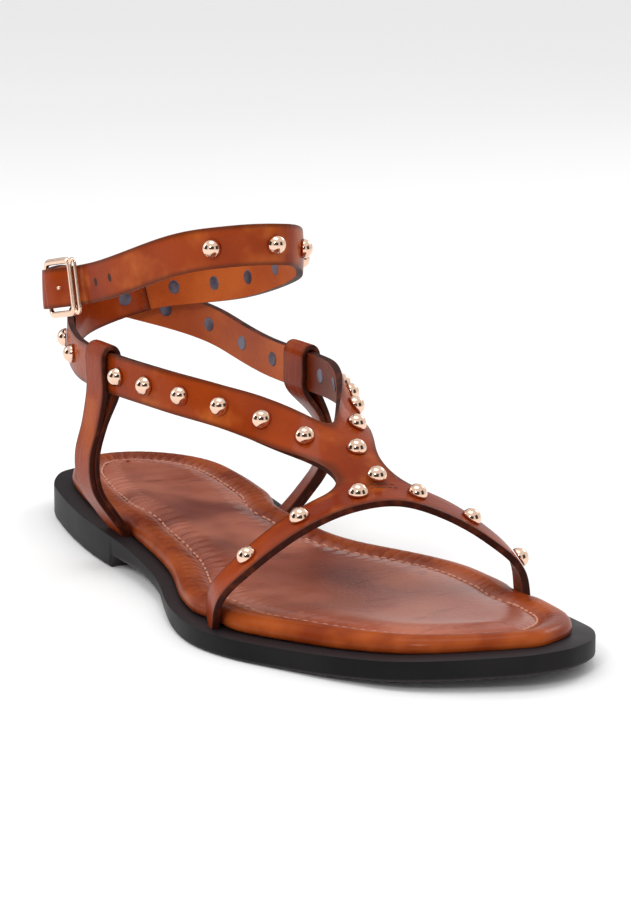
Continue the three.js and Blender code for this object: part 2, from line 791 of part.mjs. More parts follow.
// Both lasting tabs of the toe strap: grow makes them larger all round
function toeTabs(grow) {
  const [outerFoot, innerFoot] = [straps.toe.points[0], straps.toe.points.at(-1)];
  const run = new THREE.Vector3().subVectors(innerFoot, outerFoot);
  const sideways = new THREE.Vector3(run.y, -run.x, 0);
  return lastingTabBody(outerFoot, -1, sideways, strapWidth, strapThickness, grow)
    .add(lastingTabBody(innerFoot, 1, sideways, strapWidth, strapThickness, grow));
}

// Upper: toe strap, both instep branches and both ankle straps, joined
function upperBody() {
  const lap = lapLength / lateralLength;
  const medialLength = framesOf(straps.medial).length;
  const keeperShare = shareAt(straps.medial, keeperAlong.medial, keeperNear.medial, keeperReach);
  const joinShare = keeperShare + (keeperWidth / 2 + keeperToLap) / medialLength;
  const join = innerLap / medialLength;
  const inStep = -(strapThickness + lapThickness) / 2 + lapSink;
  const inner = strapBody(straps.medial).subtract(buckleRelief()).add(foldBody());
  const outer = strapBody(straps.lateral)
    .add(strapBody(straps.lateral, {
      from: lapShare - lap, to: lapShare, thickness: lapThickness, offset: inStep,
    }))
    .subtract(pinHole());
  return strapBody(straps.toe)
    .add(toeTabs(0))
    .subtract(deckRelief())
    .add(inner)
    .add(strapBody(straps.medial, {
      from: joinShare, to: joinShare + join, thickness: lapThickness, offset: -inStep,
    }))
    .add(outer);
}

// Lengthwise direction of a post's foot: it follows the sole's edge, then turns in
function footRun(sideName, side) {
  const along = postFoot[sideName];
  const rise = (edgeAt(along + stationStep, side) - edgeAt(along - stationStep, side)) / 2;
  const run = new THREE.Vector3(stationStep * outsoleLength, rise, 0).normalize();
  const turn = THREE.MathUtils.degToRad(postTwist[sideName]);
  return run.applyAxisAngle(new THREE.Vector3(0, 0, 1), -side * turn);
}

// Keeper: a doubled strap lasted under the footbed that loops round a branch
function keeper(sideName) {
  const side = sideName === 'lateral' ? -1 : 1;
  const strap = straps[sideName];
  const share = shareAt(strap, keeperAlong[sideName], keeperNear[sideName], keeperReach);
  const frame = framesOf(strap).frameAt(share);
  const up = frame.width.clone().multiplyScalar(Math.sign(frame.width.z));
  const out = frame.face.clone();
  const run = new THREE.Vector3().crossVectors(up, out);
  const innerHigh = strapWidth / 2 + keeperSlack;
  const innerDeep = strapThickness / 2 + keeperSlack;
  const top = frame.point.clone().addScaledVector(up, -innerHigh - keeperPly / 2);
  const foot = footOf(postFoot[sideName], side);
  const rows = sideName === 'lateral' ? lateralPostRows : medialPostRows;
  const bow = sideName === 'lateral' ? lateralBow : medialBow;
  const points = [foot];
  for (const row of rows) {
    const point = foot.clone().lerp(top, row.climb);
    point.y += side * row.bow * bow;
    point.x += row.sway * bow;
    points.push(point);
  }
  points.push(top);
  const lead = footRun(sideName, side);
  const ahead = run.clone().multiplyScalar(Math.sign(run.x));
  const post = {
    points,
    width: keeperWidth,
    thickness: 2 * keeperPly,
    side: -side,
    across: (along, t) => lead.clone().lerp(ahead, THREE.MathUtils.smoothstep(t, postTurn, 1)),
  };
  const outerDeep = innerDeep + keeperPly;
  const outerHigh = innerHigh + keeperPly;
  const loop = new THREE.Shape();
  roundedBox(loop, -outerDeep, outerDeep, -outerHigh, outerHigh, innerDeep);
  const hole = new THREE.Path();
  roundedBox(hole, -innerDeep, innerDeep, -innerHigh, innerHigh, loopCorner);
  loop.holes.push(hole);
  const ring = new THREE.ExtrudeGeometry(loop, {
    depth: keeperWidth,
    bevelEnabled: false,
    curveSegments: 5,
  });
  ring.translate(0, 0, -keeperWidth / 2);
  const basis = new THREE.Matrix4().makeBasis(out, up, new THREE.Vector3().crossVectors(out, up));
  ring.applyMatrix4(basis.setPosition(frame.point));
  return { post, ring: solid(ring), foot, side, lead, clear: keeperWindow(frame, out, up) };
}

// Clear window for the branch inside its keeper, so that the post stops below it
function keeperWindow(frame, out, up) {
  const high = strapWidth + 2 * keeperSlack;
  const deep = strapThickness + 2 * keeperSlack;
  const box = new THREE.BoxGeometry(deep, high, keeperWidth * 2);
  const basis = new THREE.Matrix4().makeBasis(out, up, new THREE.Vector3().crossVectors(out, up));
  box.applyMatrix4(basis.setPosition(frame.point));
  return solid(box);
}

function keeperBody(parts) {
  const tab = lastingTabBody(parts.foot, parts.side, parts.lead, keeperWidth, strapThickness);
  return strapBody(parts.post).add(parts.ring).add(tab).subtract(parts.clear).subtract(deckRelief());
}

// Stud: a domed head on the strap's outer face
function studGeometry(frame, strap, air) {
  const radius = studDiameter / 2;
  const profile = [new THREE.Vector2(0, 0), new THREE.Vector2(radius * studFoot, 0)];
  for (let k = 0; k < studRings; k += 1) {
    const angle = (k / studRings) * (Math.PI / 2);
    const rise = studWall + (studHeight - studWall) * Math.sin(angle);
    profile.push(new THREE.Vector2(radius * Math.cos(angle), rise));
  }
  profile.push(new THREE.Vector2(0, studHeight));
  const dome = new THREE.LatheGeometry(profile, studSides);
  const basis = new THREE.Matrix4().makeBasis(
    frame.along,
    frame.face,
    new THREE.Vector3().crossVectors(frame.along, frame.face),
  );
  const seat = frame.point.clone().addScaledVector(frame.face, strap.thickness / 2 + air);
  dome.applyMatrix4(basis.setPosition(seat));
  return geometryOf(solid(dome));
}

const materials = {
  sole: { color: 0x2b2b2d, roughness: 0.62, metalness: 0 },
  footbed: { color: 0x8a4327, roughness: 0.5, metalness: 0 },
  strap: { color: 0x7c3415, roughness: 0.38, metalness: 0 },
  keeper: { color: 0x6f2f14, roughness: 0.4, metalness: 0 },
  metal: { color: 0xe9b99a, roughness: 0.14, metalness: 1 },
};

const sandal = new THREE.Group();

function addPiece(name, geometry, finish) {
  const piece = new THREE.Mesh(geometry, new THREE.MeshStandardMaterial(materials[finish]));
  piece.name = name;
  sandal.add(piece);
}

const keepers = { lateral: keeper('lateral'), medial: keeper('medial') };

// What stands down through the footbed's edge, a clearance larger
function footbedCuts() {
  let cuts = strapBody(straps.toe, { grow: gap }).add(toeTabs(gap));
  for (const parts of Object.values(keepers)) {
    const { foot, side, lead } = parts;
    cuts = cuts.add(strapBody(parts.post, { grow: gap }));
    cuts = cuts.add(lastingTabBody(foot, side, lead, keeperWidth, strapThickness, gap));
  }
  return cuts;
}

addPiece('outsole', geometryOf(outsoleBody()), 'sole');
addPiece('footbed', geometryOf(footbedBody().subtract(footbedCuts())), 'footbed');
addPiece('upper', geometryOf(upperBody()), 'strap');
addPiece('lateral_keeper', geometryOf(keeperBody(keepers.lateral)), 'keeper');
addPiece('medial_keeper', geometryOf(keeperBody(keepers.medial)), 'keeper');
addPiece('buckle', geometryOf(buckleBody()), 'metal');

for (const row of studRows) {
  const strap = straps[row.strap];
  const { frameAt } = framesOf(strap);
  const from = row.from ?? shareClearOf(strap, straps.medial);
  for (let k = 0; k < row.count; k += 1) {
    const share = from + ((row.to - from) * k) / (row.count - 1);
    const name = `${row.row}_${String(k + 1).padStart(2, '0')}`;
    addPiece(name, studGeometry(frameAt(share), strap, row.seat), 'metal');
  }
}

export default sandal;
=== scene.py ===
import bisect
from math import cos, exp, pi, radians, sin, sqrt

import bmesh
import bpy
from mathutils import Matrix, Vector, noise
from mathutils.bvhtree import BVHTree


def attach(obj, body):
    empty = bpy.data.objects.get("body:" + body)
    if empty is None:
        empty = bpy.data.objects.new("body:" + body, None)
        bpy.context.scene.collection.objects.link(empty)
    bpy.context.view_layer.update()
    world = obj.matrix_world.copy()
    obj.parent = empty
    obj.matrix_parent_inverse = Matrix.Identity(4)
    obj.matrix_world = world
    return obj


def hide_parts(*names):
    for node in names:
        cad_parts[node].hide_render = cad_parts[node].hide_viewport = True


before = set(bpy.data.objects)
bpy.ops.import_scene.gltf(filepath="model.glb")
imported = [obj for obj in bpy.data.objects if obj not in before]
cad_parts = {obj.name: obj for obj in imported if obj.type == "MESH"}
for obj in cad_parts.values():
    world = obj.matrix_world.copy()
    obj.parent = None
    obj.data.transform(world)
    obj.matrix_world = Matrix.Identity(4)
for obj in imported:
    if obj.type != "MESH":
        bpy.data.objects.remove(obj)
scene = bpy.context.scene
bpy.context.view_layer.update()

# Camera
# The photograph looks down a little on the outer side and front of the shoe,
# from about 1.1 m, and is reframed on this one shoe.
camera_spot = Vector((0.8812, -0.4556, 0.2401))
look = Vector((-0.8408, 0.4957, -0.2177)).normalized()
camera_data = bpy.data.cameras.new("photo_camera")
camera_data.sensor_fit = "HORIZONTAL"
camera_data.sensor_width = 36
camera_data.lens = 180.7
camera_data.clip_start = 0.05
camera = bpy.data.objects.new("photo_camera", camera_data)
camera.location = camera_spot
camera.rotation_euler = look.to_track_quat("-Z", "Y").to_euler()
scene.collection.objects.link(camera)
scene.camera = camera

# Outsole
# One moulded rubber unit with its low heel, a welt edge round the footbed,
# a cut-in waist and a slight toe spring. All lengths here are millimetres.
sole_length, ball_width, heel_centre = 258.0, 96.4, 31.0
heel_height, sole_thickness, toe_spring = 10.3, 5.9, 4.0
drop_start, drop_end, spring_start = 0.28, 0.60, 0.72
# Each row of the plan: share of the length, middle line and half width as shares of the ball
sole_rows = [
    (0.000, -0.010, 0.070), (0.008, -0.010, 0.135), (0.030, 0.000, 0.203), (0.070, 0.002, 0.270),
    (0.120, -0.003, 0.309), (0.200, -0.038, 0.330), (0.300, -0.086, 0.330), (0.400, -0.124, 0.316),
    (0.500, -0.140, 0.350), (0.600, -0.132, 0.455), (0.680, -0.128, 0.500), (0.740, -0.118, 0.486),
    (0.800, -0.092, 0.448), (0.880, -0.060, 0.384), (0.940, -0.027, 0.303), (0.980, 0.012, 0.172),
    (1.000, 0.020, 0.062),
]


def share_at(x):
    return (x + heel_centre) / sole_length


def x_at(share):
    return share * sole_length - heel_centre


def ease(value, low, high):
    t = min(1.0, max(0.0, (value - low) / (high - low)))
    return t * t * (3 - 2 * t)


def row_value(rows, place, column):
    last = len(rows) - 1
    i = 0
    while i < last - 1 and place > rows[i + 1][0]:
        i += 1

    def slope(a, b):
        return (rows[b][column] - rows[a][column]) / (rows[b][0] - rows[a][0])

    span = rows[i + 1][0] - rows[i][0]
    here = slope(i, i + 1)
    start = (slope(i - 1, i) + here) / 2 if i > 0 else here
    end = (here + slope(i + 1, i + 2)) / 2 if i < last - 1 else here
    t = (place - rows[i][0]) / span
    a, b = rows[i][column], rows[i + 1][column]
    return a + (b - a) * t * t * (3 - 2 * t) + span * t * (1 - t) * (start * (1 - t) - end * t)


def toe_lift(along):
    reach = max(0.0, (along - spring_start) / (1 - spring_start))
    return toe_spring * reach * reach


def welt_height(along):
    drop = (heel_height - sole_thickness) * ease(along, drop_start, drop_end)
    return heel_height - drop + toe_lift(along)


def sole_edge(along, side):
    return (row_value(sole_rows, along, 1) + side * row_value(sole_rows, along, 2)) * ball_width


def grow(bm, ring, edges, spots):
    """Extrudes a row of edges once and moves its new corners to their spots."""
    made = bmesh.ops.extrude_edge_only(bm, edges=edges)["geom"]
    fresh = {v for v in made if isinstance(v, bmesh.types.BMVert)}
    new_ring = [next(e.other_vert(v) for e in v.link_edges if e.other_vert(v) in fresh) for v in ring]
    for vert, spot in zip(new_ring, spots):
        vert.co = spot
    new_edges = [e for e in made if isinstance(e, bmesh.types.BMEdge) and fresh.issuperset(e.verts)]
    return new_ring, new_edges


def grow_rows(bm, rows, closed=False, ring=None, edges=None):
    """Faces through rows of spots, each row open or closed on itself, after a first ring if given."""
    rings = []
    for spots in rows:
        if ring is None:
            ring = [bm.verts.new(p) for p in spots]
            ends = zip(ring, ring[1:] + ring[:1]) if closed else zip(ring, ring[1:])
            edges = [bm.edges.new(pair) for pair in ends]
        else:
            ring, edges = grow(bm, ring, edges, spots)
        rings.append(ring)
    return rings, edges


def link_piece(name, bm, materials):
    mesh = bpy.data.meshes.new(name)
    bm.to_mesh(mesh)
    bm.free()
    for material in materials:
        mesh.materials.append(material)
    piece = bpy.data.objects.new(name, mesh)
    scene.collection.objects.link(piece)
    return piece


def finish_piece(bm, name, materials, smooth=True, closed=False):
    """Millimetres to metres, into an object that rides on the shoe."""
    if closed:
        bmesh.ops.recalc_face_normals(bm, faces=bm.faces)
    bmesh.ops.scale(bm, vec=(0.001, 0.001, 0.001), verts=bm.verts)
    piece = link_piece(name, bm, materials)
    for face in piece.data.polygons:
        face.use_smooth = smooth
    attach(piece, "root")
    return piece


def fill(tree, node, values):
    """Gives a node's sockets their values, or links them to other nodes."""
    for socket, value in values:
        if isinstance(value, bpy.types.NodeSocket):
            tree.links.new(value, node.inputs[socket])
        else:
            node.inputs[socket].default_value = value


def add_node(tree, kind, values=(), **settings):
    node = tree.nodes.new(kind)
    for key, value in settings.items():
        setattr(node, key, value)
    fill(tree, node, values)
    return node


def blend(tree, factor, first, second):
    first, second = ((*c, 1) if isinstance(c, tuple) else c for c in (first, second))
    values = [(0, factor), (6, first), (7, second)]
    return add_node(tree, "ShaderNodeMix", values, data_type="RGBA").outputs[2]


def ramp(tree, value, low, high):
    values = [("Value", value), ("From Min", low), ("From Max", high)]
    return add_node(tree, "ShaderNodeMapRange", values, interpolation_type="SMOOTHSTEP").outputs["Result"]


def ramp_between(tree, value, low, high):
    values = [("Value", value), ("From Min", 0.3), ("From Max", 0.7), ("To Min", low), ("To Max", high)]
    return add_node(tree, "ShaderNodeMapRange", values).outputs["Result"]


def math_node(tree, operation, first, second=0.0):
    return add_node(tree, "ShaderNodeMath", [(0, first), (1, second)], operation=operation).outputs[0]


def times(tree, first, second):
    return math_node(tree, "MULTIPLY", first, second)


def noise_field(tree, coords, scale, detail=2.0, distortion=0.0):
    values = [("Vector", coords), ("Scale", scale), ("Detail", detail), ("Distortion", distortion)]
    return add_node(tree, "ShaderNodeTexNoise", values).outputs["Fac"]


def roughen(tree, shader, strength, depth, height):
    """Fine relief on a surface, its depth in metres."""
    bump = add_node(tree, "ShaderNodeBump", [("Strength", strength), ("Distance", depth), ("Height", height)])
    fill(tree, shader, [("Normal", bump.outputs["Normal"])])


shader_sockets = {"specular": "Specular IOR Level", "coat": "Coat Weight", "coat_gloss": "Coat Roughness",
                  "metal": "Metallic"}


def dress(tree, shader, colour, roughness, **others):
    named = [(shader_sockets[name], value) for name, value in others.items()]
    fill(tree, shader, [("Base Color", colour), ("Roughness", roughness), *named])


def start_material(name):
    material = bpy.data.materials.new(name)
    material.use_nodes = True
    tree = material.node_tree
    tree.nodes.clear()
    shader = add_node(tree, "ShaderNodeBsdfPrincipled")
    add_node(tree, "ShaderNodeOutputMaterial", [("Surface", shader.outputs["BSDF"])])
    coords = add_node(tree, "ShaderNodeTexCoord").outputs["Object"]
    return material, tree, shader, coords


def sole_material():
    material, tree, shader, coords = start_material("moulded_rubber")
    cloud = noise_field(tree, coords, 38.0, 4.0)
    normal = add_node(tree, "ShaderNodeNewGeometry").outputs["Normal"]
    up = add_node(tree, "ShaderNodeSeparateXYZ", [("Vector", normal)]).outputs["Z"]
    down = times(tree, up, -1.0)
    colour = blend(tree, ramp(tree, cloud, 0.35, 0.7), (0.006, 0.0055, 0.0058), (0.012, 0.0108, 0.0114))
    # Faces turned up, such as the welt's top, are painted a lighter grey: painted light from above.
    colour = blend(tree, ramp(tree, up, 0.45, 0.85), colour, (0.022, 0.017, 0.019))
    # Faces turned down, on the bevel at the foot of the sole's side, are painted a lighter grey: a painted
    # highlight.
    painted_bevel_light = times(tree, ramp(tree, down, 0.2, 0.55), 0.8)
    colour = blend(tree, painted_bevel_light, colour, (0.042, 0.036, 0.037))
    ribs = [("Vector", coords), ("Scale", 95.0), ("Distortion", 1.5), ("Detail", 1.0)]
    ribs = add_node(tree, "ShaderNodeTexWave", ribs).outputs["Fac"]
    tread = times(tree, ribs, ramp(tree, down, 0.9, 0.98))
    fine = times(tree, noise_field(tree, coords, 900.0, 3.0), 0.12)
    roughen(tree, shader, 0.5, 0.0006, math_node(tree, "ADD", fine, tread))
    dress(tree, shader, colour, ramp_between(tree, cloud, 0.42, 0.58), specular=0.11)
    return material


# The footbed's edge is dented where a strap goes down beside it
dent_depth, dent_width = 1.7, 8.0
outline_samples = 160


def shoe_outline(set_back, set_in, count, rounds, foot_places=()):
    """The sole's edge as an even closed row of points, from the heel round the inner side."""
    back, toe = set_back
    inner, outer = [], []
    for k in range(outline_samples + 1):
        share = 0.5 - 0.5 * cos(pi * k / outline_samples)
        x = back + share * (sole_length - back - toe) - heel_centre
        middle = row_value(sole_rows, share, 1) * ball_width
        half = max(row_value(sole_rows, share, 2) * ball_width - set_in, 0.5)
        place = share_at(x)
        for side, points in ((1, inner), (-1, outer)):
            dent = sum(dent_depth * exp(-(((place - foot) * sole_length / dent_width) ** 4))
                       for foot, foot_side in foot_places if foot_side == side)
            points.append(Vector((x, middle + side * (half - dent), 0)))
    loop = inner + outer[::-1]
    lengths = [(loop[(i + 1) % len(loop)] - loop[i]).length for i in range(len(loop))]
    total = sum(lengths)
    points, i, walked = [], 0, 0.0
    for k in range(count):
        goal = total * k / count
        while walked + lengths[i] < goal:
            walked += lengths[i]
            i += 1
        points.append(loop[i].lerp(loop[(i + 1) % len(loop)], (goal - walked) / lengths[i]))
    for _ in range(rounds):
        points = [(points[k - 1] + points[k] * 2 + points[(k + 1) % count]) / 4 for k in range(count)]
    runs = [points[(k + 3) % count] - points[k - 3] for k in range(count)]
    inward = [Vector((run.y, -run.x, 0)).normalized() for run in runs]
    return points, inward, total


# The middle line ends this far from the heel's back and from the toe's tip
middle_back, middle_toe = 14.0, 40.0
weld = 0.02


def close_to_middle(bm, ring, edges, steps, height, grid):
    """Carries a ring in to the shoe's middle line, where both sides meet."""
    outer = [Vector((v.co.x, v.co.y, 0)) for v in ring]
    rows = []
    for step in steps:
        spots = []
        for flat in outer:
            x = min(max(flat.x, middle_back - heel_centre), sole_length - heel_centre - middle_toe)
            if step == 1.0:
                x = round(x / grid) * grid
            share = share_at(x)
            spot = flat.lerp(Vector((x, row_value(sole_rows, share, 1) * ball_width, 0)), step)
            spots.append(Vector((spot.x, spot.y, height(share_at(spot.x), step))))
        rows.append(spots)
    grow_rows(bm, rows, ring=ring, edges=edges)
    bmesh.ops.remove_doubles(bm, verts=bm.verts, dist=weld)
    fins = [face for face in bm.faces if all(len(edge.link_faces) > 2 for edge in face.edges)]
    bmesh.ops.delete(bm, geom=fins, context="FACES_ONLY")


breast, breast_top, arch_depth = 87.0, 89.4, 6.0
edge_bevel, waist_cut = 0.8, 2.4
waist_in, waist_out = (0.34, 0.44), (0.52, 0.64)
breast_snap = 0.55
# Each row of the wall: set in, set in by tucks, whether from the top, height, height in tucks
wall_rows = [
    (0.0, 1.25, False, 0.0, 0.0), (0.0, 0.80, False, 0.12, 0.0), (0.0, 0.20, False, 0.0, 0.66),
    (0.0, 0.0, False, 0.35, 1.0), (0.0, 0.0, True, -0.70, 0.0), (0.10, 0.0, True, -0.14, 0.0),
    (0.70, 0.0, True, 0.0, 0.0), (4.0, 0.0, True, 0.0, 0.0), (9.0, 0.0, True, 0.0, 0.0),
]


def sole_low(along):
    arch = min(1.0, max(0.0, (along * sole_length - breast) / (breast_top - breast)))
    arched = arch * (welt_height(along) - arch_depth) if along < drop_end else 0.0
    return max(toe_lift(along), arched)


bm = bmesh.new()
sole_loop, sole_inward, _ = shoe_outline((0.0, 0.0), 0.0, 640, 16)
for point in sole_loop:
    for line in (breast - heel_centre, breast_top - heel_centre):
        if abs(point.x - line) < breast_snap:
            point.x = line
wall = []
for inset, tucks, from_top, rise, tuck_rise in wall_rows:
    spots = []
    for point, inward in zip(sole_loop, sole_inward):
        along = share_at(point.x)
        tuck = edge_bevel + waist_cut * ease(along, *waist_in) * (1 - ease(along, *waist_out))
        base = welt_height(along) if from_top else sole_low(along)
        spot = point + inward * (inset + tucks * tuck)
        spots.append(Vector((spot.x, spot.y, base + rise + tuck_rise * tuck)))
    wall.append(spots)
rings, top_edges = grow_rows(bm, wall, closed=True)
close_to_middle(bm, rings[-1], top_edges, (0.5, 1.0), lambda along, step: welt_height(along), 2.0)
low_edges = [e for e in bm.edges if e.is_boundary]
low_ring = [v for v in rings[0] if v.is_valid]
close_to_middle(bm, low_ring, low_edges, (0.3, 0.65, 1.0), lambda along, step: sole_low(along), 2.0)
rubber = sole_material()
outsole_unit = finish_piece(bm, "outsole_unit", [rubber], closed=True)
outsole_unit.data.set_sharp_from_angle(angle=radians(40))
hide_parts("outsole")

# Footbed
# Foam on an insole board, wrapped in leather: a rolled rim, a stitched channel
# 9 mm in, and gathers beside the stitches round the heel and the waist.
# Each row: inward from the edge, up from the insole board's underside, share of the gathers
footbed_rows = [
    (2.6, 0.00, 0.0), (0.7, 0.10, 0.0), (0.12, 0.85, 0.0), (0.0, 1.9, 0.0), (0.30, 3.1, 0.0),
    (1.05, 4.15, 0.0), (2.2, 4.85, 0.05), (3.7, 5.15, 0.25), (5.2, 5.05, 0.60), (6.6, 4.7, 0.95),
    (7.9, 4.2, 1.0), (8.8, 3.65, 0.8), (9.4, 3.35, 0.4), (10.0, 3.6, 0.8), (10.9, 4.1, 1.0),
    (12.0, 4.45, 0.9), (13.4, 4.65, 0.6), (15.2, 4.75, 0.25),
]
footbed_air = 0.3
pad_height, pad_hollow, pad_steps = 4.75, 0.45, (0.13, 0.28, 0.48, 0.72, 1.0)
channel_inset, gather_depth, gather_pitch = 9.4, 1.15, 4.1
welt_side, welt_back, welt_toe = 4.6, 4.8, 5.0
keeper_feet = {"lateral_keeper": 0.330, "medial_keeper": 0.362}
toe_feet = (0.680, 0.798)
foot_places = [(keeper_feet["lateral_keeper"], -1), (keeper_feet["medial_keeper"], 1),
               (toe_feet[0], -1), (toe_feet[1], 1)]
edge_loop, inward_dirs, edge_length = shoe_outline((welt_back, welt_toe), welt_side, 960, 24, foot_places)
edge_count = len(edge_loop)


def gather_at(k, depth):
    """Soft pleats beside the channel: strong round heel and waist, faint at the toes."""
    walk = edge_length * k / edge_count
    along = share_at(edge_loop[k].x)
    where = 1 - 0.88 * ease(along, 0.56, 0.70)
    wander = 1.3 * noise.noise(Vector((walk / 14.0, depth / 9.0, 3.0)))
    fold = sin(pi * (walk + wander) / gather_pitch)
    broad = 0.75 + 0.45 * noise.noise(Vector((walk / 9.0, 7.0, 0.0)))
    return where * broad * (1 - abs(fold)) ** 1.15


def toe_flat(along):
    """The footbed is an eighth thinner at the toes."""
    return 1 - 0.12 * ease(along, 0.80, 0.97)


def pad_top(along, step):
    return welt_height(along) + footbed_air + pad_height - pad_hollow * ease(step, 0.0, 0.7)


bm = bmesh.new()
rim_layer = bm.verts.layers.float.new("rim")
gather_layer = bm.verts.layers.float.new("gather")
rows = []
for inset, up, gathers in footbed_rows:
    spots = []
    flats = [edge + inward * inset for edge, inward in zip(edge_loop, inward_dirs)]
    for _ in range(round(inset * 8)):
        after = flats[1:] + flats[:1]
        flats = [(flats[k - 1] + flats[k] * 2 + after[k]) / 4 for k in range(edge_count)]
    for k, flat in enumerate(flats):
        along = share_at(flat.x)
        drop = gather_depth * gathers * gather_at(k, inset) if up > 1.5 else 0.0
        z = welt_height(along) + footbed_air + up * toe_flat(along) - drop
        sunk = 0.5 * drop if inset < 2 else 0.0
        spots.append(Vector((flat.x, flat.y, z)) + inward_dirs[k] * sunk)
    rows.append(spots)
rings, edges = grow_rows(bm, rows, closed=True)
bm.faces.new(rings[0])
for (inset, up, gathers), ring in zip(footbed_rows, rings):
    for k, vert in enumerate(ring):
        vert[rim_layer] = 1 - ease(inset, 6.5, 9.6)
        # The gather attribute marks the folds of the gathers, where the footbed's material paints shade.
        vert[gather_layer] = gathers * gather_at(k, inset) * ease(inset, 2.5, 6.5)
close_to_middle(bm, rings[-1], edges, pad_steps, pad_top, 3.0)


grain_values = ("Pores", "Creases", "Patches", "Streaks")


def hide_grain_group():
    """Pores, fine creases and cloudy patches of finished leather."""
    group = bpy.data.node_groups.new("hide_grain", "ShaderNodeTree")
    group.interface.new_socket("Vector", in_out="INPUT", socket_type="NodeSocketVector")
    group.interface.new_socket("Pore Scale", in_out="INPUT", socket_type="NodeSocketFloat")
    for name in grain_values:
        group.interface.new_socket(name, in_out="OUTPUT", socket_type="NodeSocketFloat")
    given = group.nodes.new("NodeGroupInput")
    handed = group.nodes.new("NodeGroupOutput")
    spot = given.outputs["Vector"]
    pores = add_node(group, "ShaderNodeTexVoronoi", [("Vector", spot), ("Scale", given.outputs["Pore Scale"])],
                     feature="SMOOTH_F1").outputs["Distance"]
    stretched = add_node(group, "ShaderNodeMapping", [("Vector", spot), ("Scale", (5.0, 1.0, 1.0))])
    creases = noise_field(group, stretched.outputs["Vector"], 62.0, 3.0, 0.5)
    patches = noise_field(group, spot, 34.0, 4.0)
    streaks = noise_field(group, spot, 60.0, 3.0)
    fill(group, handed, zip(grain_values, (pores, creases, patches, streaks)))
    return group


hide_grain = hide_grain_group()


def grain_in(tree, coords, pore_scale):
    """The leather's pores, creases, patches and streaks, as four values."""
    node = add_node(tree, "ShaderNodeGroup", node_tree=hide_grain)
    fill(tree, node, [("Vector", coords), ("Pore Scale", pore_scale)])
    return [node.outputs[name] for name in grain_values]


def attribute(tree, name):
    return add_node(tree, "ShaderNodeAttribute", attribute_name=name).outputs["Fac"]


def footbed_material():
    material, tree, shader, coords = start_material("footbed_leather")
    pores, creases, patches, streaks = grain_in(tree, coords, 1050.0)
    rim = attribute(tree, "rim")
    x = add_node(tree, "ShaderNodeSeparateXYZ", [("Vector", coords)]).outputs["X"]
    top = blend(tree, ramp(tree, patches, 0.34, 0.68), (0.300, 0.066, 0.030), (0.420, 0.130, 0.075))
    smoke = ramp(tree, noise_field(tree, coords, 26.0, 2.0, 0.6), 0.48, 0.78)
    top = blend(tree, smoke, top, (0.150, 0.025, 0.012))
    lines = ramp(tree, creases, 0.30, 0.42)
    # Where the crease relief dips, the colour is painted darker: painted shade in the creases.
    crease_shade = times(tree, math_node(tree, "SUBTRACT", 1.0, lines), 0.35)
    top = blend(tree, crease_shade, top, (0.110, 0.020, 0.010))
    waist = blend(tree, ramp(tree, streaks, 0.38, 0.64), (0.180, 0.027, 0.006), (0.300, 0.060, 0.014))
    toe = blend(tree, ramp(tree, streaks, 0.36, 0.68), (0.200, 0.028, 0.005), (0.360, 0.072, 0.013))
    sides = blend(tree, ramp(tree, x, 0.120, 0.165), waist, toe)
    colour = blend(tree, rim, top, sides)
    # The folds of the gathers are painted darker: painted shade in the folds.
    gather_shade = times(tree, ramp(tree, attribute(tree, "gather"), 0.35, 0.95), 0.62)
    colour = blend(tree, gather_shade, colour, (0.075, 0.014, 0.008))
    soft_lines = times(tree, lines, math_node(tree, "SUBTRACT", 0.5, times(tree, rim, 0.4)))
    height = math_node(tree, "ADD", times(tree, pores, 0.30), soft_lines)
    roughen(tree, shader, 0.28, 0.0005, height)
    duller = times(tree, rim, 0.16)
    specular = math_node(tree, "SUBTRACT", 0.20, duller)
    coat = math_node(tree, "SUBTRACT", 0.30, duller)
    gloss = ramp_between(tree, patches, 0.30, 0.44)
    dress(tree, shader, colour, gloss, specular=specular, coat=coat, coat_gloss=0.16)
    return material


footbed_hide = footbed_material()
footbed_pad = finish_piece(bm, "footbed_pad", [footbed_hide], closed=True)
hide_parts("footbed")

# Footbed thread
# A single row of pale thread, sunk in the channel all round the footbed.
stitch_pitch, stitch_length, thread_radius = 3.3, 2.4, 0.40
thread_height, thread_sink = 3.60, 0.22


def lay_stitch(bm, spot, run, up, length, radius):
    """One stitch: a small bean of thread lying along its seam."""
    side = up.cross(run).normalized()
    turn = Matrix((run.normalized(), side, up.normalized())).transposed().to_4x4()
    grown = Matrix.Diagonal((length / 2, radius, radius, 1))
    place = Matrix.Translation(spot) @ turn @ grown @ Matrix.Rotation(pi / 2, 4, "Y")
    bmesh.ops.create_uvsphere(bm, u_segments=8, v_segments=6, radius=1.0, matrix=place)


def thread_material(name, colour, dark):
    material, tree, shader, coords = start_material(name)
    twist = noise_field(tree, coords, 2600.0)
    roughen(tree, shader, 0.5, 0.0002, twist)
    dress(tree, shader, blend(tree, twist, dark, colour), 0.7)
    return material


pale_thread = thread_material("pale_thread", (0.70, 0.33, 0.21), (0.42, 0.15, 0.09))
bm = bmesh.new()
stitches = int(edge_length / stitch_pitch)
slope_reach = 0.004
for n in range(stitches):
    k = int(edge_count * n / stitches)
    spot = edge_loop[k] + inward_dirs[k] * channel_inset
    along = share_at(spot.x)
    seam_up = thread_height * toe_flat(along) - thread_sink * gather_at(k, channel_inset)
    spot.z = welt_height(along) + footbed_air + seam_up
    run = edge_loop[(k + 2) % edge_count] - edge_loop[k - 2]
    run.z = welt_height(along + slope_reach) - welt_height(along - slope_reach)
    run.z *= run.x / (2 * slope_reach * sole_length)
    lay_stitch(bm, spot, run.normalized(), Vector((0, 0, 1)), stitch_length, thread_radius)
finish_piece(bm, "footbed_thread", [pale_thread])

# Upper straps
# The toe strap, the forked instep piece sewn on it and the two ankle straps,
# cut from 2 mm leather with painted edges and an orange lining.
toe_rise, ankle_rise = 34.0, 94.0
strap_width, strap_thickness, half_ply = 12.0, 2.0, 1.0
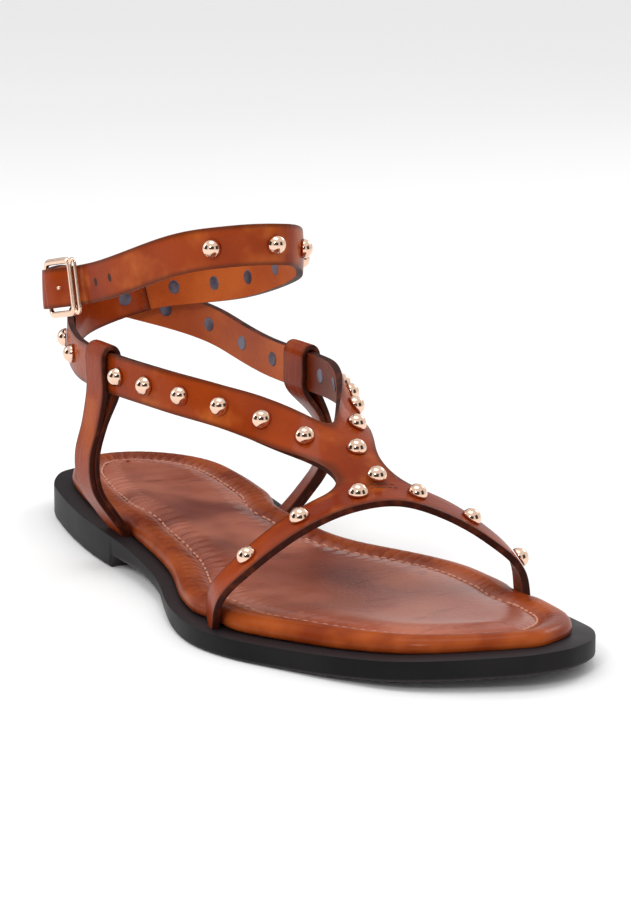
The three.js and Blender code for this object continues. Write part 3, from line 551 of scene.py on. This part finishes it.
# Each row: along, across, share of the rise, and the lean in degrees where it is not 90
toe_rows = [
    (0.698, -0.572, 0.29, 2), (0.714, -0.494, 0.55, 6), (0.729, -0.358, 0.83, 10), (0.739, -0.215, 0.985, 12),
    (0.745, -0.060, 1.00, 12), (0.755, 0.080, 0.855, 10), (0.770, 0.204, 0.62, 6), (0.786, 0.290, 0.35, 2),
]
inner_rows = [
    (0.748, -0.078, 0.0, 6), (0.722, -0.090, 0.055, 4), (0.679, -0.084, 0.128, 8), (0.636, -0.018, 0.205, 30),
    (0.581, 0.060, 0.258, 56), (0.527, 0.124, 0.272, 74), (0.467, 0.182, 0.256, 86), (0.415, 0.207, 0.232),
    (0.376, 0.213, 0.217), (0.341, 0.212, 0.210), (0.295, 0.208, 0.214), (0.244, 0.204, 0.242),
    (0.186, 0.190, 0.292), (0.139, 0.155, 0.325), (0.096, 0.084, 0.362), (0.073, -0.010, 0.408),
    (0.072, -0.092, 0.464), (0.085, -0.170, 0.498), (0.108, -0.246, 0.530), (0.138, -0.320, 0.560),
]
outer_rows = [
    (0.713, -0.09, 0.06, 6), (0.68, -0.122, 0.118, 12), (0.637, -0.197, 0.204, 44), (0.587, -0.278, 0.272, 66),
    (0.543, -0.344, 0.305, 79), (0.494, -0.402, 0.315, 86), (0.453, -0.436, 0.318), (0.399, -0.457, 0.307),
    (0.341, -0.457, 0.293), (0.287, -0.434, 0.277), (0.234, -0.395, 0.278), (0.171, -0.334, 0.312),
    (0.120, -0.240, 0.346), (0.093, -0.150, 0.368), (0.087, -0.046, 0.406), (0.101, 0.047, 0.452),
    (0.136, 0.112, 0.488), (0.186, 0.156, 0.528), (0.248, 0.184, 0.584), (0.310, 0.191, 0.664),
    (0.364, 0.178, 0.748), (0.419, 0.135, 0.838), (0.461, 0.070, 0.928), (0.492, -0.012, 0.984),
    (0.501, -0.088, 1.004), (0.494, -0.154, 1.003), (0.478, -0.205, 0.986), (0.451, -0.262, 0.954),
    (0.417, -0.300, 0.900), (0.380, -0.327, 0.832), (0.337, -0.358, 0.750), (0.295, -0.380, 0.684),
    (0.252, -0.398, 0.636), (0.205, -0.410, 0.594), (0.176, -0.410, 0.568),
]


def place_on_shoe(along, across, up):
    return Vector((x_at(along), across, welt_height(along) + up))


def curve_points(points, pieces=24):
    """Smooth curve through the points, with the share of the rows at each spot."""
    ends = [points[0] * 2 - points[1]] + list(points) + [points[-1] * 2 - points[-2]]
    path = []
    for i in range(len(points) - 1):
        p0, p1, p2, p3 = ends[i:i + 4]
        d0, d1, d2 = (max((b - a).length ** 0.5, 1e-4) for a, b in ((p0, p1), (p1, p2), (p2, p3)))
        t1 = ((p1 - p0) / d0 - (p2 - p0) / (d0 + d1) + (p2 - p1) / d1) * d1
        t2 = ((p2 - p1) / d1 - (p3 - p1) / (d1 + d2) + (p3 - p2) / d2) * d1
        for k in range(pieces + (i == len(points) - 2)):
            t = k / pieces
            bend = (p2 * 3 - p1 * 3 - t1 * 2 - t2) * t * t + (p1 * 2 - p2 * 2 + t1 + t2) * t ** 3
            path.append((p1 + t1 * t + bend, (i + t) / (len(points) - 1)))
    return path


class StrapPath:
    """A strap's middle line: where it is, which way it runs and which way it faces."""

    def __init__(self, points, across, side, calm=0):
        self.path = curve_points(points)
        for _ in range(calm):
            spots = [spot for spot, _ in self.path]
            mid = [(a + b * 2 + c) / 4 for a, b, c in zip(spots, spots[1:], spots[2:])]
            self.path = [(spot, t) for spot, (_, t) in zip([spots[0]] + mid + [spots[-1]], self.path)]
        self.across, self.side = across, side
        self.walk = [0.0]
        for (a, _), (b, _) in zip(self.path, self.path[1:]):
            self.walk.append(self.walk[-1] + (b - a).length)
        self.length = self.walk[-1]
        self.shift = None

    def spot(self, walk):
        walk = min(max(walk, 0.0), self.length)
        low = min(bisect.bisect_right(self.walk, walk), len(self.walk) - 1) - 1
        part = (walk - self.walk[low]) / max(self.walk[low + 1] - self.walk[low], 1e-9)
        (a, ta), (b, tb) = self.path[low], self.path[low + 1]
        return a.lerp(b, part), ta + (tb - ta) * part

    def frame(self, walk):
        point, t = self.spot(walk)
        run = (self.spot(walk + 0.6)[0] - self.spot(walk - 0.6)[0]).normalized()
        width = self.across(run, t)
        width = (width - run * width.dot(run)).normalized()
        face = run.cross(width) * self.side
        if self.shift:
            point = point + face * self.shift(walk)
        return point, run, width, face


def lean_at(rows, t):
    spot = min(max(t, 0.0), 1.0) * (len(rows) - 1)
    i = min(len(rows) - 2, int(spot))
    low, high = (row[3] if len(row) > 3 else 90 for row in rows[i:i + 2])
    return radians(low * (1 - (spot - i)) + high * (spot - i))


foot_inset = 5.0 + half_ply


def foot_of(along, side):
    return place_on_shoe(along, sole_edge(along, side) - side * foot_inset, footbed_air)


toe_start, toe_end = foot_of(toe_feet[0], -1), foot_of(toe_feet[1], 1)
chord = toe_end - toe_start
chord.z = 0
chord.normalize()
to_heel = Vector((-chord.y, chord.x, 0))


def toe_across(run, t):
    lean = lean_at(toe_rows, t)
    return to_heel * cos(lean) + Vector((0, 0, sin(lean)))


def ankle_across(rows, side):
    def across(run, t):
        stand = lean_at(rows, t)
        outward = Vector((run.y, -run.x, 0)).normalized() * side
        return outward * -cos(stand) + Vector((0, 0, sin(stand)))
    return across


def ankle_points(rows):
    return [place_on_shoe(a, b * ball_width, toe_rise + c * (ankle_rise - toe_rise)) for a, b, c, *_ in rows]


toe_middle = [place_on_shoe(a, b * ball_width, c * toe_rise) for a, b, c, *_ in toe_rows]
toe_points = [toe_start] + toe_middle + [toe_end]
toe_path = StrapPath(toe_points, toe_across, 1)
outer_path = StrapPath(ankle_points(outer_rows), ankle_across(outer_rows, -1), -1, 160)

# The long strap goes under the buckle's front bar and over its back bar
buckle_window, buckle_bar, fold_ply = 12.6, 2.0, 1.0
buckle_x = x_at(0.215)
buckle_walk = min((outer_path.length * (0.92 + 0.08 * k / 200) for k in range(201)),
                  key=lambda walk: abs(outer_path.spot(walk)[0].x - buckle_x))
buckle_spot, buckle_run, buckle_up, buckle_out = outer_path.frame(buckle_walk)
under_bar, over_bar, frame_raise = 1.0, 1.9, 1.2
bend_radius, bend_share = 1.6, 0.985
bar_clearance, window_clearance, weave_reach = 1.4, 0.8, 2.6
tip_reach = (buckle_window + buckle_bar) / 2 - bar_clearance


def weave(walk):
    start = walk - buckle_walk
    reach = buckle_window / 2 - window_clearance
    across = ease(start, -reach, reach)
    past_bar = min(max(0.0, start - tip_reach), bend_radius * bend_share)
    bend = bend_radius - sqrt(bend_radius ** 2 - past_bar ** 2)
    lift = over_bar * across - under_bar * (1 - across)
    return ease(start, -buckle_window * weave_reach, -buckle_window) * lift - bend


outer_path.shift = weave
to_front = -buckle_run
back_bar = buckle_spot - to_front * (buckle_window + buckle_bar) / 2
fold_out = buckle_bar / 2 + 0.3 + fold_ply
inner_points = ankle_points(inner_rows) + [back_bar - to_front * fold_out * share for share in (2.2, 0.86)]
inner_rows = inner_rows + [(0, 0, 0)] * 2
inner_path = StrapPath(inner_points, ankle_across(inner_rows, 1), 1, 80)

columns = 6
row_shares = [2.0 * k / columns - 1 for k in range(columns + 1)]
row_step = 2.35
edge_drop = 0.22
lap_share = 0.478


def strap_row(path, walk, width=strap_width):
    """The corners of one row across a strap's outer face, a little lower at its edges."""
    point, _, across, face = path.frame(walk)
    return [point + across * (width / 2 * s) + face * (half_ply - edge_drop * s ** 4) for s in row_shares]


def edges_between(ring):
    return [next(e for e in a.link_edges if e.other_vert(a) == b) for a, b in zip(ring, ring[1:])]


def run_strap(bm, path, start, end, ring=None, step=row_step, flare=0.0):
    """Rows of leather from one place along a path to another; returns every row."""
    count = max(1, round((end - start) / step))
    walks = [start + (end - start) * k / count for k in range(count + 1)]
    widths = [strap_width + flare * (1 - ease(walk, start + 8, start + 34)) for walk in walks]
    rows = [strap_row(path, walk, width) for walk, width in zip(walks, widths)]
    edges = edges_between(ring) if ring else None
    return list(zip(walks, grow_rows(bm, rows, ring=ring, edges=edges)[0]))


def mark_edges(bm):
    """Tells the leather's material where a sheet has been cut, for painted shade along its edges."""
    edge_layer = bm.verts.layers.float["edge"]
    for vert in bm.verts:
        vert[edge_layer] = 1.0 if vert.is_boundary else 0.0


bm = bmesh.new()
walk_layer = bm.verts.layers.float.new("walk")
bm.verts.layers.float.new("edge")
toe_sheet = run_strap(bm, toe_path, -0.4, toe_path.length)
# the instep piece grows out of the toe strap's rear edge, widest at its foot
neck_x = inner_path.frame(8.0)[0]
neck_row = min(range(len(toe_sheet)), key=lambda i: (toe_sheet[i][1][columns].co - neck_x).length)
neck = [toe_sheet[neck_row + 3 - k][1][columns] for k in range(columns + 1)]
spine_start = 11.5
spine_sheet = run_strap(bm, inner_path, spine_start, inner_path.length, neck)
# its other end goes in under the buckle's back bar
end_row = strap_row(inner_path, inner_path.length)
ring, edges = spine_sheet[-1][1], edges_between(spine_sheet[-1][1])
for reach, sink in ((1.0, 0.30), (2.0, 0.75), (3.0, 0.95), (4.0, 0.95)):
    ring, edges = grow(bm, ring, edges, [spot + to_front * reach - buckle_out * sink for spot in end_row])
    spine_sheet.append((inner_path.length, ring))
# the outer branch grows out of the instep piece's outer edge
fork = [spine_sheet[1 + k][1][columns] for k in range(columns + 1)]
branch_start = 19.5
tip_start = buckle_walk + tip_reach
branch_sheet = run_strap(bm, outer_path, branch_start, tip_start, fork, flare=1.2)
bend_start, bend_end, bend_step = tip_start + 0.35, tip_start + bend_radius * bend_share, 0.35
branch_sheet += run_strap(bm, outer_path, bend_start, bend_end, branch_sheet[-1][1], bend_step)
for sheet, base, sign in ((toe_sheet, 0, -1), (spine_sheet, 0, 1), (branch_sheet, 1, 1)):
    for walk, ring in sheet:
        for vert in ring:
            vert[walk_layer] = base + sign * walk / 1000
joint_verts = set()
for rows_near in (spine_sheet[:12], branch_sheet[:9]):
    for _, ring in rows_near:
        joint_verts.update(ring)
for i in range(neck_row - 5, neck_row + 6):
    joint_verts.update(toe_sheet[i][1][2:])
# cut edges are eased along their own line only, so that the straps keep their width
for _ in range(8):
    eased = {}
    for vert in joint_verts:
        rim = [e.other_vert(vert) for e in vert.link_edges if not vert.is_boundary or e.is_boundary]
        eased[vert] = vert.co.lerp(sum((v.co for v in rim), Vector()) / len(rim), 0.5)
    for vert, spot in eased.items():
        vert.co = spot
probe = toe_sheet[10][1][3].link_faces[0]
probe.normal_update()
if probe.normal.dot(toe_path.frame(toe_sheet[10][0])[3]) < 0:
    bmesh.ops.reverse_faces(bm, faces=bm.faces)
mark_edges(bm)
outer_face = BVHTree.FromBMesh(bm)


def strap_material(name, low, middle, high, gloss):
    material, tree, shader, coords = start_material(name)
    pores, creases, patches, streaks = grain_in(tree, coords, 1250.0)
    colour = blend(tree, ramp(tree, patches, 0.30, 0.62), low, middle)
    colour = blend(tree, ramp(tree, streaks, 0.52, 0.74), colour, high)
    # Darker towards the cut edges: painted shade where the face rolls away from the light.
    edge_shade = times(tree, ramp(tree, attribute(tree, "edge"), 0.10, 1.0), 0.75)
    colour = blend(tree, edge_shade, colour, (0.085, 0.018, 0.006))
    lines = times(tree, ramp(tree, creases, 0.36, 0.50), 0.35)
    roughen(tree, shader, 0.42, 0.0004, math_node(tree, "ADD", times(tree, pores, 0.5), lines))
    rough = ramp_between(tree, streaks, gloss, gloss + 0.14)
    dress(tree, shader, colour, rough, specular=0.03, coat=0.20, coat_gloss=0.13)
    return material


def lining_material():
    """Orange lining; the first part of each long strap is doubled in brown."""
    material, tree, shader, coords = start_material("strap_lining")
    pores, _, patches, _ = grain_in(tree, coords, 1500.0)
    cloud = ramp(tree, patches, 0.36, 0.64)
    orange = blend(tree, cloud, (0.360, 0.062, 0.010), (0.500, 0.110, 0.020))
    brown = blend(tree, cloud, (0.130, 0.018, 0.004), (0.210, 0.038, 0.008))
    walk = attribute(tree, "walk")
    past_keeper = math_node(tree, "GREATER_THAN", walk, 0.100)
    lined_inner = times(tree, past_keeper, math_node(tree, "LESS_THAN", walk, 0.9))
    lined_outer = math_node(tree, "GREATER_THAN", walk, 1 + lap_share * outer_path.length / 1000)
    lined = math_node(tree, "ADD", lined_inner, lined_outer)
    roughen(tree, shader, 0.25, 0.0004, pores)
    colour = blend(tree, lined, brown, orange)
    dress(tree, shader, colour, 0.46, specular=0.10, coat=0.10, coat_gloss=0.25)
    return material


def edge_paint_material():
    material, tree, shader, coords = start_material("edge_paint")
    wear = noise_field(tree, coords, 240.0, 3.0)
    colour = blend(tree, ramp(tree, wear, 0.45, 0.75), (0.034, 0.007, 0.004), (0.115, 0.022, 0.008))
    roughen(tree, shader, 0.2, 0.0003, wear)
    dress(tree, shader, colour, 0.5, specular=0.12)
    return material


def soften(piece):
    soft = piece.modifiers.new("smooth", "SUBSURF")
    soft.levels = soft.render_levels = 1


def thicken(piece, depth, rounded=0.4, offset=-1.0):
    """A leather sheet's second face, painted edge and rounded corners."""
    wall = piece.modifiers.new("thickness", "SOLIDIFY")
    wall.thickness = depth / 1000
    wall.offset = offset
    wall.use_even_offset = True
    wall.material_offset = 1
    wall.material_offset_rim = 2
    corner = piece.modifiers.new("rounded_edge", "BEVEL")
    corner.width = rounded / 1000
    corner.segments = 2
    corner.limit_method = "ANGLE"
    corner.angle_limit = radians(50)
    soften(piece)


strap_browns = (0.190, 0.020, 0.002), (0.290, 0.040, 0.004), (0.430, 0.098, 0.018)
strap_hide = strap_material("strap_leather", *strap_browns, 0.32)
lining_hide = lining_material()
edge_paint = edge_paint_material()
upper_straps = finish_piece(bm, "upper_straps", [strap_hide, lining_hide, edge_paint])
thicken(upper_straps, strap_thickness)
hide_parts("upper")

# Laps of the straps
# Where a branch is sewn to its ankle strap a second ply of leather lies on it,
# inside the heel on the long strap and outside it on the short one.
lap_lift = half_ply + 0.9
rear_lap_length, inner_lap_back, inner_lap_ahead = 46.0, 3.0, 4.8


def sheet_rows(path, start, end, pitch, width, lift=0.0):
    """Flat rows of leather across a path."""
    count = max(2, round((end - start) / pitch))
    frames = [path.frame(start + (end - start) * k / count) for k in range(count + 1)]
    return [[point + across * (width / 2 * share) + face * lift for share in row_shares]
            for point, _, across, face in frames]


def leather_sheet(name, rows, middle, outward, hide, depth, rounded, offset=-1.0):
    """A flat strip of leather; at its middle its good side looks outward."""
    bm = bmesh.new()
    bm.verts.layers.float.new("edge")
    grow_rows(bm, rows)
    bm.normal_update()
    nearest = min(bm.faces, key=lambda f: (f.calc_center_median() - middle).length)
    if nearest.normal.dot(outward) < 0:
        bmesh.ops.reverse_faces(bm, faces=bm.faces)
    mark_edges(bm)
    piece = finish_piece(bm, name, [hide, hide, edge_paint])
    thicken(piece, depth, rounded, offset)
    return piece


def small_lap(name, path, start, end, side):
    middle, _, _, face = path.frame((start + end) / 2)
    rows = sheet_rows(path, start, end, 1.6, strap_width, side * lap_lift)
    return leather_sheet(name, rows, middle, face * side, strap_hide, 1.0, 0.3)


rear_lap_end = lap_share * outer_path.length
small_lap("rear_lap", outer_path, rear_lap_end - rear_lap_length, rear_lap_end, -1)
inner_seam = 0.459 * inner_path.length
small_lap("inner_lap", inner_path, inner_seam - inner_lap_back, inner_seam + inner_lap_ahead, 1)

# Strap stitches
# Brown thread: two short rows where the instep piece meets the toe strap, and
# a row across the end of each lap.
brown_thread = thread_material("brown_thread", (0.210, 0.062, 0.026), (0.070, 0.018, 0.010))
seam_lift = lap_lift + 0.02
bm = bmesh.new()
neck_walk = toe_sheet[neck_row][0]
for row, span in ((3.9, 4.6), (2.1, 5.2)):
    for k in range(-3, 4):
        walk = neck_walk + span * k / 3
        point, run, across, face = toe_path.frame(walk)
        spot, normal = outer_face.find_nearest(point + across * row + face * half_ply)[:2]
        lay_stitch(bm, spot, run, normal, 1.5, 0.30)


def cross_seam(bm, middle, across, up, radius=0.25):
    for k in range(5):
        lay_stitch(bm, middle + across * (strap_width * (k - 2) / 5.6), across, up, 1.6, radius)


for path, walk, side in ((outer_path, rear_lap_end - 1.6, -1), (inner_path, inner_seam + 3.2, 1)):
    point, _, across, face = path.frame(walk)
    cross_seam(bm, point + face * (seam_lift * side), across, face * side)
finish_piece(bm, "strap_stitches", [brown_thread])

# Keepers
# Each keeper is one strip of leather: up from under the footbed, round the
# branch and down again, so that its post is two plies side by side.
keeper_width, keeper_ply, keeper_slack = 12.0, 1.7, 0.45


def keeper_path(path, near, along, foot_along, side, bow, rows, twist):
    goal = x_at(along)
    walk = min((path.length * (near + 0.06 * (k / 100 - 1)) for k in range(201)),
               key=lambda w: abs(path.spot(w)[0].x - goal))
    point, run, width, face = path.frame(walk)
    up = width * (1 if width.z > 0 else -1)
    high = strap_width / 2 + keeper_slack
    deep = half_ply + keeper_slack + keeper_ply / 2
    top = point - up * (high + keeper_ply / 2)
    foot = foot_of(foot_along, side)
    post = [foot - Vector((0, 0, 1.2))]
    for climb, out, sway in rows:
        spot = foot.lerp(top, climb)
        post.append(spot + Vector((sway * bow, side * out * bow, 0)))
    rise = (sole_edge(foot_along + 0.03, side) - sole_edge(foot_along - 0.03, side)) / 2
    lead = Vector((0.03 * sole_length, rise, 0)).normalized()
    lead.rotate(Matrix.Rotation(-side * radians(twist), 3, "Z"))
    ahead = run * (1 if run.x > 0 else -1)
    outward = Vector((lead.y, -lead.x, 0))
    if outward.y * side < 0:
        outward = -outward
    ply = keeper_ply / 2 + 0.08
    outs = [p + outward * ply for p in post]
    ins = [p - outward * ply for p in post]
    crest = high + keeper_ply * 0.55
    turns = [(deep, 1.0 - high), (deep + 0.15, 0.0), (deep, high - 0.8), (deep * 0.55, crest)]
    turns += [(-reach, lift) for reach, lift in reversed(turns)]
    loop = [point + face * reach + up * lift for reach, lift in turns]
    points = outs + loop + ins[::-1]
    share = len(outs) / (len(points) - 1)

    def across(run_dir, t):
        near_loop = ease(min(t, 1 - t) / share, 0.55, 1.0)
        return lead.lerp(ahead, near_loop)

    return StrapPath(points, across, 1), point, up, face, ahead, high, deep


keeper_browns = (0.150, 0.015, 0.002), (0.250, 0.034, 0.005), (0.350, 0.068, 0.012)
keeper_hide = strap_material("keeper_leather", *keeper_browns, 0.30)
# Each plan: strap, share of it to look near, place of the loop, place of the foot, side, bow,
# rows of the post with their share of the climb, bow and sway, and the post's twist
keeper_plans = {
    "lateral_keeper": (outer_path, 0.245, 0.354, keeper_feet["lateral_keeper"], -1, 9.0,
                       [(0.16, 0.55, -0.03), (0.36, 1.00, 0.02), (0.58, 0.96, 0.06), (0.81, 0.50, 0.05)], 0),
    "medial_keeper": (inner_path, 0.432, 0.374, keeper_feet["medial_keeper"], 1, 11.0,
                      [(0.18, 0.62, 0.04), (0.40, 1.00, 0.16), (0.62, 0.96, 0.24), (0.82, 0.58, 0.18)], 14),
}
seam_bm = bmesh.new()
for node, plan in keeper_plans.items():
    strip, point, up, face, ahead, high, deep = keeper_path(*plan)
    rows = sheet_rows(strip, 0.0, strip.length, 1.7, keeper_width)
    strap_loop = leather_sheet(node + "_strip", rows, strip.spot(strip.length / 2)[0], up, keeper_hide,
                               keeper_ply - 0.1, 0.35, 0.0)
    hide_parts(node)
    cross_seam(seam_bm, point - up * (high + 1.4) + face * (deep + 0.10), ahead, face, 0.24)
finish_piece(seam_bm, "keeper_stitches", [brown_thread])

# Buckle
# A plated frame with a stepped rim, a loop bar in front of it, and a pin that
# turns on the back bar and stands through the strap's hole.
def plated_material():
    material, tree, shader, coords = start_material("rose_gold_plate")
    haze = noise_field(tree, coords, 320.0, 4.0)
    colour = blend(tree, haze, (0.80, 0.52, 0.38), (0.92, 0.68, 0.53))
    roughen(tree, shader, 0.06, 0.0002, haze)
    dress(tree, shader, colour, ramp_between(tree, haze, 0.07, 0.14), metal=1.0)
    return material


plate = plated_material()


def turn_to(run, across, face):
    """A turn with X along the run and Z out of the face."""
    if run.cross(across).dot(face) < 0:
        across = -across
    return Matrix((run, across, run.cross(across))).transposed().to_4x4()


buckle_place = Matrix.Translation(buckle_spot + buckle_out * frame_raise)
buckle_place = buckle_place @ turn_to(to_front, buckle_up, buckle_out)


def rounded_loop(left, right, low, high, radius, pieces=6):
    spots = []
    rights, lefts, highs, lows = right - radius, left + radius, high - radius, low + radius
    for cx, cy, start in ((rights, highs, 0), (lefts, highs, 90), (lefts, lows, 180), (rights, lows, 270)):
        for k in range(pieces + 1):
            angle = radians(start + 90 * k / pieces)
            spots.append(Vector((cx + radius * cos(angle), cy + radius * sin(angle), 0)))
    return spots


def metal_loop(bm, spots, profile):
    """A closed bar: a profile carried round a loop and joined to itself."""
    count = len(spots)
    rows = []
    for i, spot in enumerate(spots):
        run = (spots[(i + 1) % count] - spots[i - 1]).normalized()
        outward = Vector((run.y, -run.x, 0))
        rows.append([spot + outward * a + Vector((0, 0, b)) for a, b in profile])
    grow_rows(bm, rows, closed=True)
    bmesh.ops.bridge_loops(bm, edges=[e for e in bm.edges if e.is_boundary])


def place_metal(bm, name):
    """Puts a metal part where the buckle is and rounds it."""
    bmesh.ops.transform(bm, matrix=buckle_place, verts=bm.verts)
    piece = finish_piece(bm, name, [plate], closed=True)
    soften(piece)
    return piece


bm = bmesh.new()
frame_profile = [(-0.95, -0.45), (-0.80, -0.62), (0.80, -0.62), (1.02, -0.42), (1.02, 0.10), (0.86, 0.30),
                 (0.52, 0.36), (0.44, 0.56), (0.20, 0.70), (-0.35, 0.70), (-0.72, 0.60), (-0.95, 0.35)]
half = buckle_window / 2 + buckle_bar / 2
metal_loop(bm, rounded_loop(-half, half, -8.0, 8.0, 2.0), frame_profile)
front = buckle_window / 2 + buckle_bar + 1.5
bar_profile = [(0.72 * cos(a * pi / 4), 0.52 * sin(a * pi / 4)) for a in range(8)]
metal_loop(bm, rounded_loop(half + 0.4, front + 0.85, -8.1, 8.1, 1.5), bar_profile)
buckle_frame = place_metal(bm, "buckle_frame")
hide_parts("buckle")

bm = bmesh.new()
strap_in = (over_bar - under_bar) / 2 - half_ply - frame_raise
arm_z = strap_in - 1.4
pin_spots = [(-half - 0.3, 0.1), (-half + 0.9, 0.0), (-half + 2.2, -0.7), (-2.2, arm_z), (-0.6, arm_z + 0.1),
             (0.1, arm_z + 1.1), (0.25, strap_in + 2.1), (0.3, strap_in + 3.0)]
rows = []
for i, (a, b) in enumerate(pin_spots):
    before, after = pin_spots[max(i - 1, 0)], pin_spots[min(i + 1, len(pin_spots) - 1)]
    run = Vector((after[0] - before[0], 0, after[1] - before[1])).normalized()
    up_dir = Vector((-run.z, 0, run.x))
    thin = 0.8 if i < len(pin_spots) - 1 else 0.5
    turns = [n * pi / 5 for n in range(10)]
    rows.append([Vector((a, thin * sin(t), b)) + up_dir * (thin * cos(t)) for t in turns])
rings, _ = grow_rows(bm, rows, closed=True)
bm.faces.new(rings[0])
bm.faces.new(rings[-1])
place_metal(bm, "buckle_pin")

# Studs
# Polished hollow caps, riveted through the straps; each shows a small flat
# rivet on the strap's inner face.
# Each row: strap, first and last stud as shares of its length, how many, lift
stud_rows = {
    "toe_stud": (toe_path, 0.190, 0.895, 6, 0.1), "instep_stud": (inner_path, 0.030, 0.372, 7, 0.15),
    "inner_stud": (inner_path, 0.497, 0.722, 4, 0.1), "outer_stud": (outer_path, 0.055, 0.2215, 6, 0.15),
    "heel_stud": (outer_path, 0.320, 0.361, 2, 0.1), "ankle_stud": (outer_path, 0.503, 0.808, 8, 0.1),
}
cap_radius, cap_height, cap_rim = 2.9, 2.95, -0.25
rivet_radius, rivet_top, rivet_depth = 2.35, 0.86, 0.28
# A rivet's back stands out of the strap's inner face, or out of the rear lap
back_lift, lap_back_lift, lap_rivet_share = 0.08, 0.98, 0.459


def rivet_material():
    material, tree, shader, coords = start_material("rivet_steel")
    tarnish = noise_field(tree, coords, 140.0, 3.0)
    colour = blend(tree, ramp(tree, tarnish, 0.40, 0.62), (0.055, 0.040, 0.060), (0.150, 0.145, 0.190))
    roughen(tree, shader, 0.15, 0.0002, tarnish)
    dress(tree, shader, colour, 0.42, metal=0.5)
    return material


def seat_on(path, walk, lift):
    """A place on a strap: X along it and Z out of its good side."""
    point, run, across, face = path.frame(walk)
    return Matrix.Translation(point + face * lift) @ turn_to(run, across, face)


def add_rivet_back(path, walk, lift):
    seat = seat_on(path, walk, -(half_ply + lift))
    bmesh.ops.create_cone(rivet_bm, cap_ends=True, segments=20, radius1=rivet_radius * rivet_top,
                          radius2=rivet_radius, depth=rivet_depth, matrix=seat)


rivet_steel = rivet_material()
rivet_bm = bmesh.new()
for row, (path, start, end, count, lift) in stud_rows.items():
    bm = bmesh.new()
    for k in range(count):
        walk = path.length * (start + (end - start) * k / (count - 1))
        shape = Matrix.Diagonal((cap_radius, cap_radius, cap_height, 1))
        cap = bmesh.ops.create_uvsphere(bm, u_segments=24, v_segments=14, radius=1.0, matrix=shape)["verts"]
        bmesh.ops.delete(bm, geom=[v for v in cap if v.co.z < cap_rim], context="VERTS")
        cap = [v for v in cap if v.is_valid]
        bmesh.ops.transform(bm, matrix=seat_on(path, walk, half_ply + lift), verts=cap)
        add_rivet_back(path, walk, back_lift)
    holes = [e for e in bm.edges if e.is_boundary]
    bmesh.ops.holes_fill(bm, edges=holes, sides=0)
    studs = finish_piece(bm, row + "_caps", [plate])
    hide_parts(*[f"{row}_{k + 1:02d}" for k in range(count)])
add_rivet_back(outer_path, outer_path.length * lap_rivet_share, lap_back_lift)
finish_piece(rivet_bm, "rivet_backs", [rivet_steel], False, True)

# Punch holes
# Two spare holes for the pin in the long strap, in front of the buckle.
hole_distances, hole_half_sizes, hole_depth = (18.5, 26.5), (0.75, 1.25), 0.04


# Each hole is a thin near-black disc on the strap's face, not cut through: its colour is painted shade inside
# the hole.
def hole_shade_material():
    material, tree, shader, coords = start_material("painted_hole_shade")
    fuzz = noise_field(tree, coords, 900.0)
    colour = blend(tree, fuzz, (0.020, 0.006, 0.004), (0.060, 0.016, 0.010))
    dress(tree, shader, colour, 0.9)
    return material


bm = bmesh.new()
for distance in hole_distances:
    point, run, across, face = outer_path.frame(buckle_walk - distance)
    turn = Matrix((run, across, run.cross(across))).transposed().to_4x4()
    seat = Matrix.Translation(point + face * (half_ply + 0.01)) @ turn
    shape = Matrix.Diagonal((*hole_half_sizes, 1, 1))
    bmesh.ops.create_circle(bm, cap_ends=True, segments=20, radius=1.0, matrix=seat @ shape)
bm.normal_update()
bmesh.ops.solidify(bm, geom=bm.faces[:], thickness=hole_depth)
finish_piece(bm, "punch_holes", [hole_shade_material()], False, True)

# Floor and light
# A pale sweep and soft studio light, with darker cards that the metal mirrors.
bm = bmesh.new()
bmesh.ops.create_grid(bm, x_segments=2, y_segments=2, size=4.0)
floor_paint, floor_tree, floor_shader, _ = start_material("studio_floor")
dress(floor_tree, floor_shader, (0.93, 0.93, 0.93, 1), 0.8, specular=0.15)
link_piece("studio_floor", bm, [floor_paint])

world = bpy.data.worlds.new("studio")
world.use_nodes = True
fill(world.node_tree, world.node_tree.nodes["Background"], [("Color", (1.0, 1.0, 1.0, 1)), ("Strength", 0.86)])
scene.world = world
scene.view_settings.view_transform = "Standard"


def dark_card(name, spot, size, aim=Vector((0.09, 0.0, 0.05))):
    bm = bmesh.new()
    bmesh.ops.create_grid(bm, x_segments=1, y_segments=1, size=0.5)
    turn = (aim - Vector(spot)).to_track_quat("-Z", "Y").to_matrix().to_4x4()
    place = Matrix.Translation(spot) @ turn @ Matrix.Diagonal((*size, 1, 1))
    bmesh.ops.transform(bm, matrix=place, verts=bm.verts)
    card = link_piece(name, bm, [card_paint])
    card.visible_camera = card.visible_diffuse = card.visible_shadow = False


card_paint, card_tree, card_shader, _ = start_material("studio_card")
dress(card_tree, card_shader, (0.03, 0.028, 0.028, 1), 0.9)
dark_card("camera_side_card", (1.25, -0.72, 0.52), (1.5, 0.9))
dark_card("outer_side_card", (-0.25, -1.30, 0.40), (1.0, 1.0))
dark_card("inner_side_card", (1.15, 0.75, 0.40), (0.8, 0.9))
dark_card("rear_card", (-1.15, 0.30, 0.35), (0.9, 0.6))


def soft_box(name, spot, size, power, aim=(0.09, 0.0, 0.03)):
    data = bpy.data.lights.new(name, "AREA")
    data.shape = "RECTANGLE"
    data.size, data.size_y = size
    data.energy = power
    light = bpy.data.objects.new(name, data)
    light.location = spot
    light.rotation_euler = (Vector(aim) - Vector(spot)).to_track_quat("-Z", "Y").to_euler()
    scene.collection.objects.link(light)


soft_box("top_box", (0.15, -0.10, 1.15), (0.7, 0.5), 3.2)
soft_box("front_box", (0.95, -0.95, 0.85), (0.26, 0.26), 4.0)
soft_box("left_box", (-0.65, -0.75, 0.55), (0.2, 0.5), 2.0)
soft_box("back_box", (-0.2, 0.95, 0.6), (0.4, 0.3), 1.2)
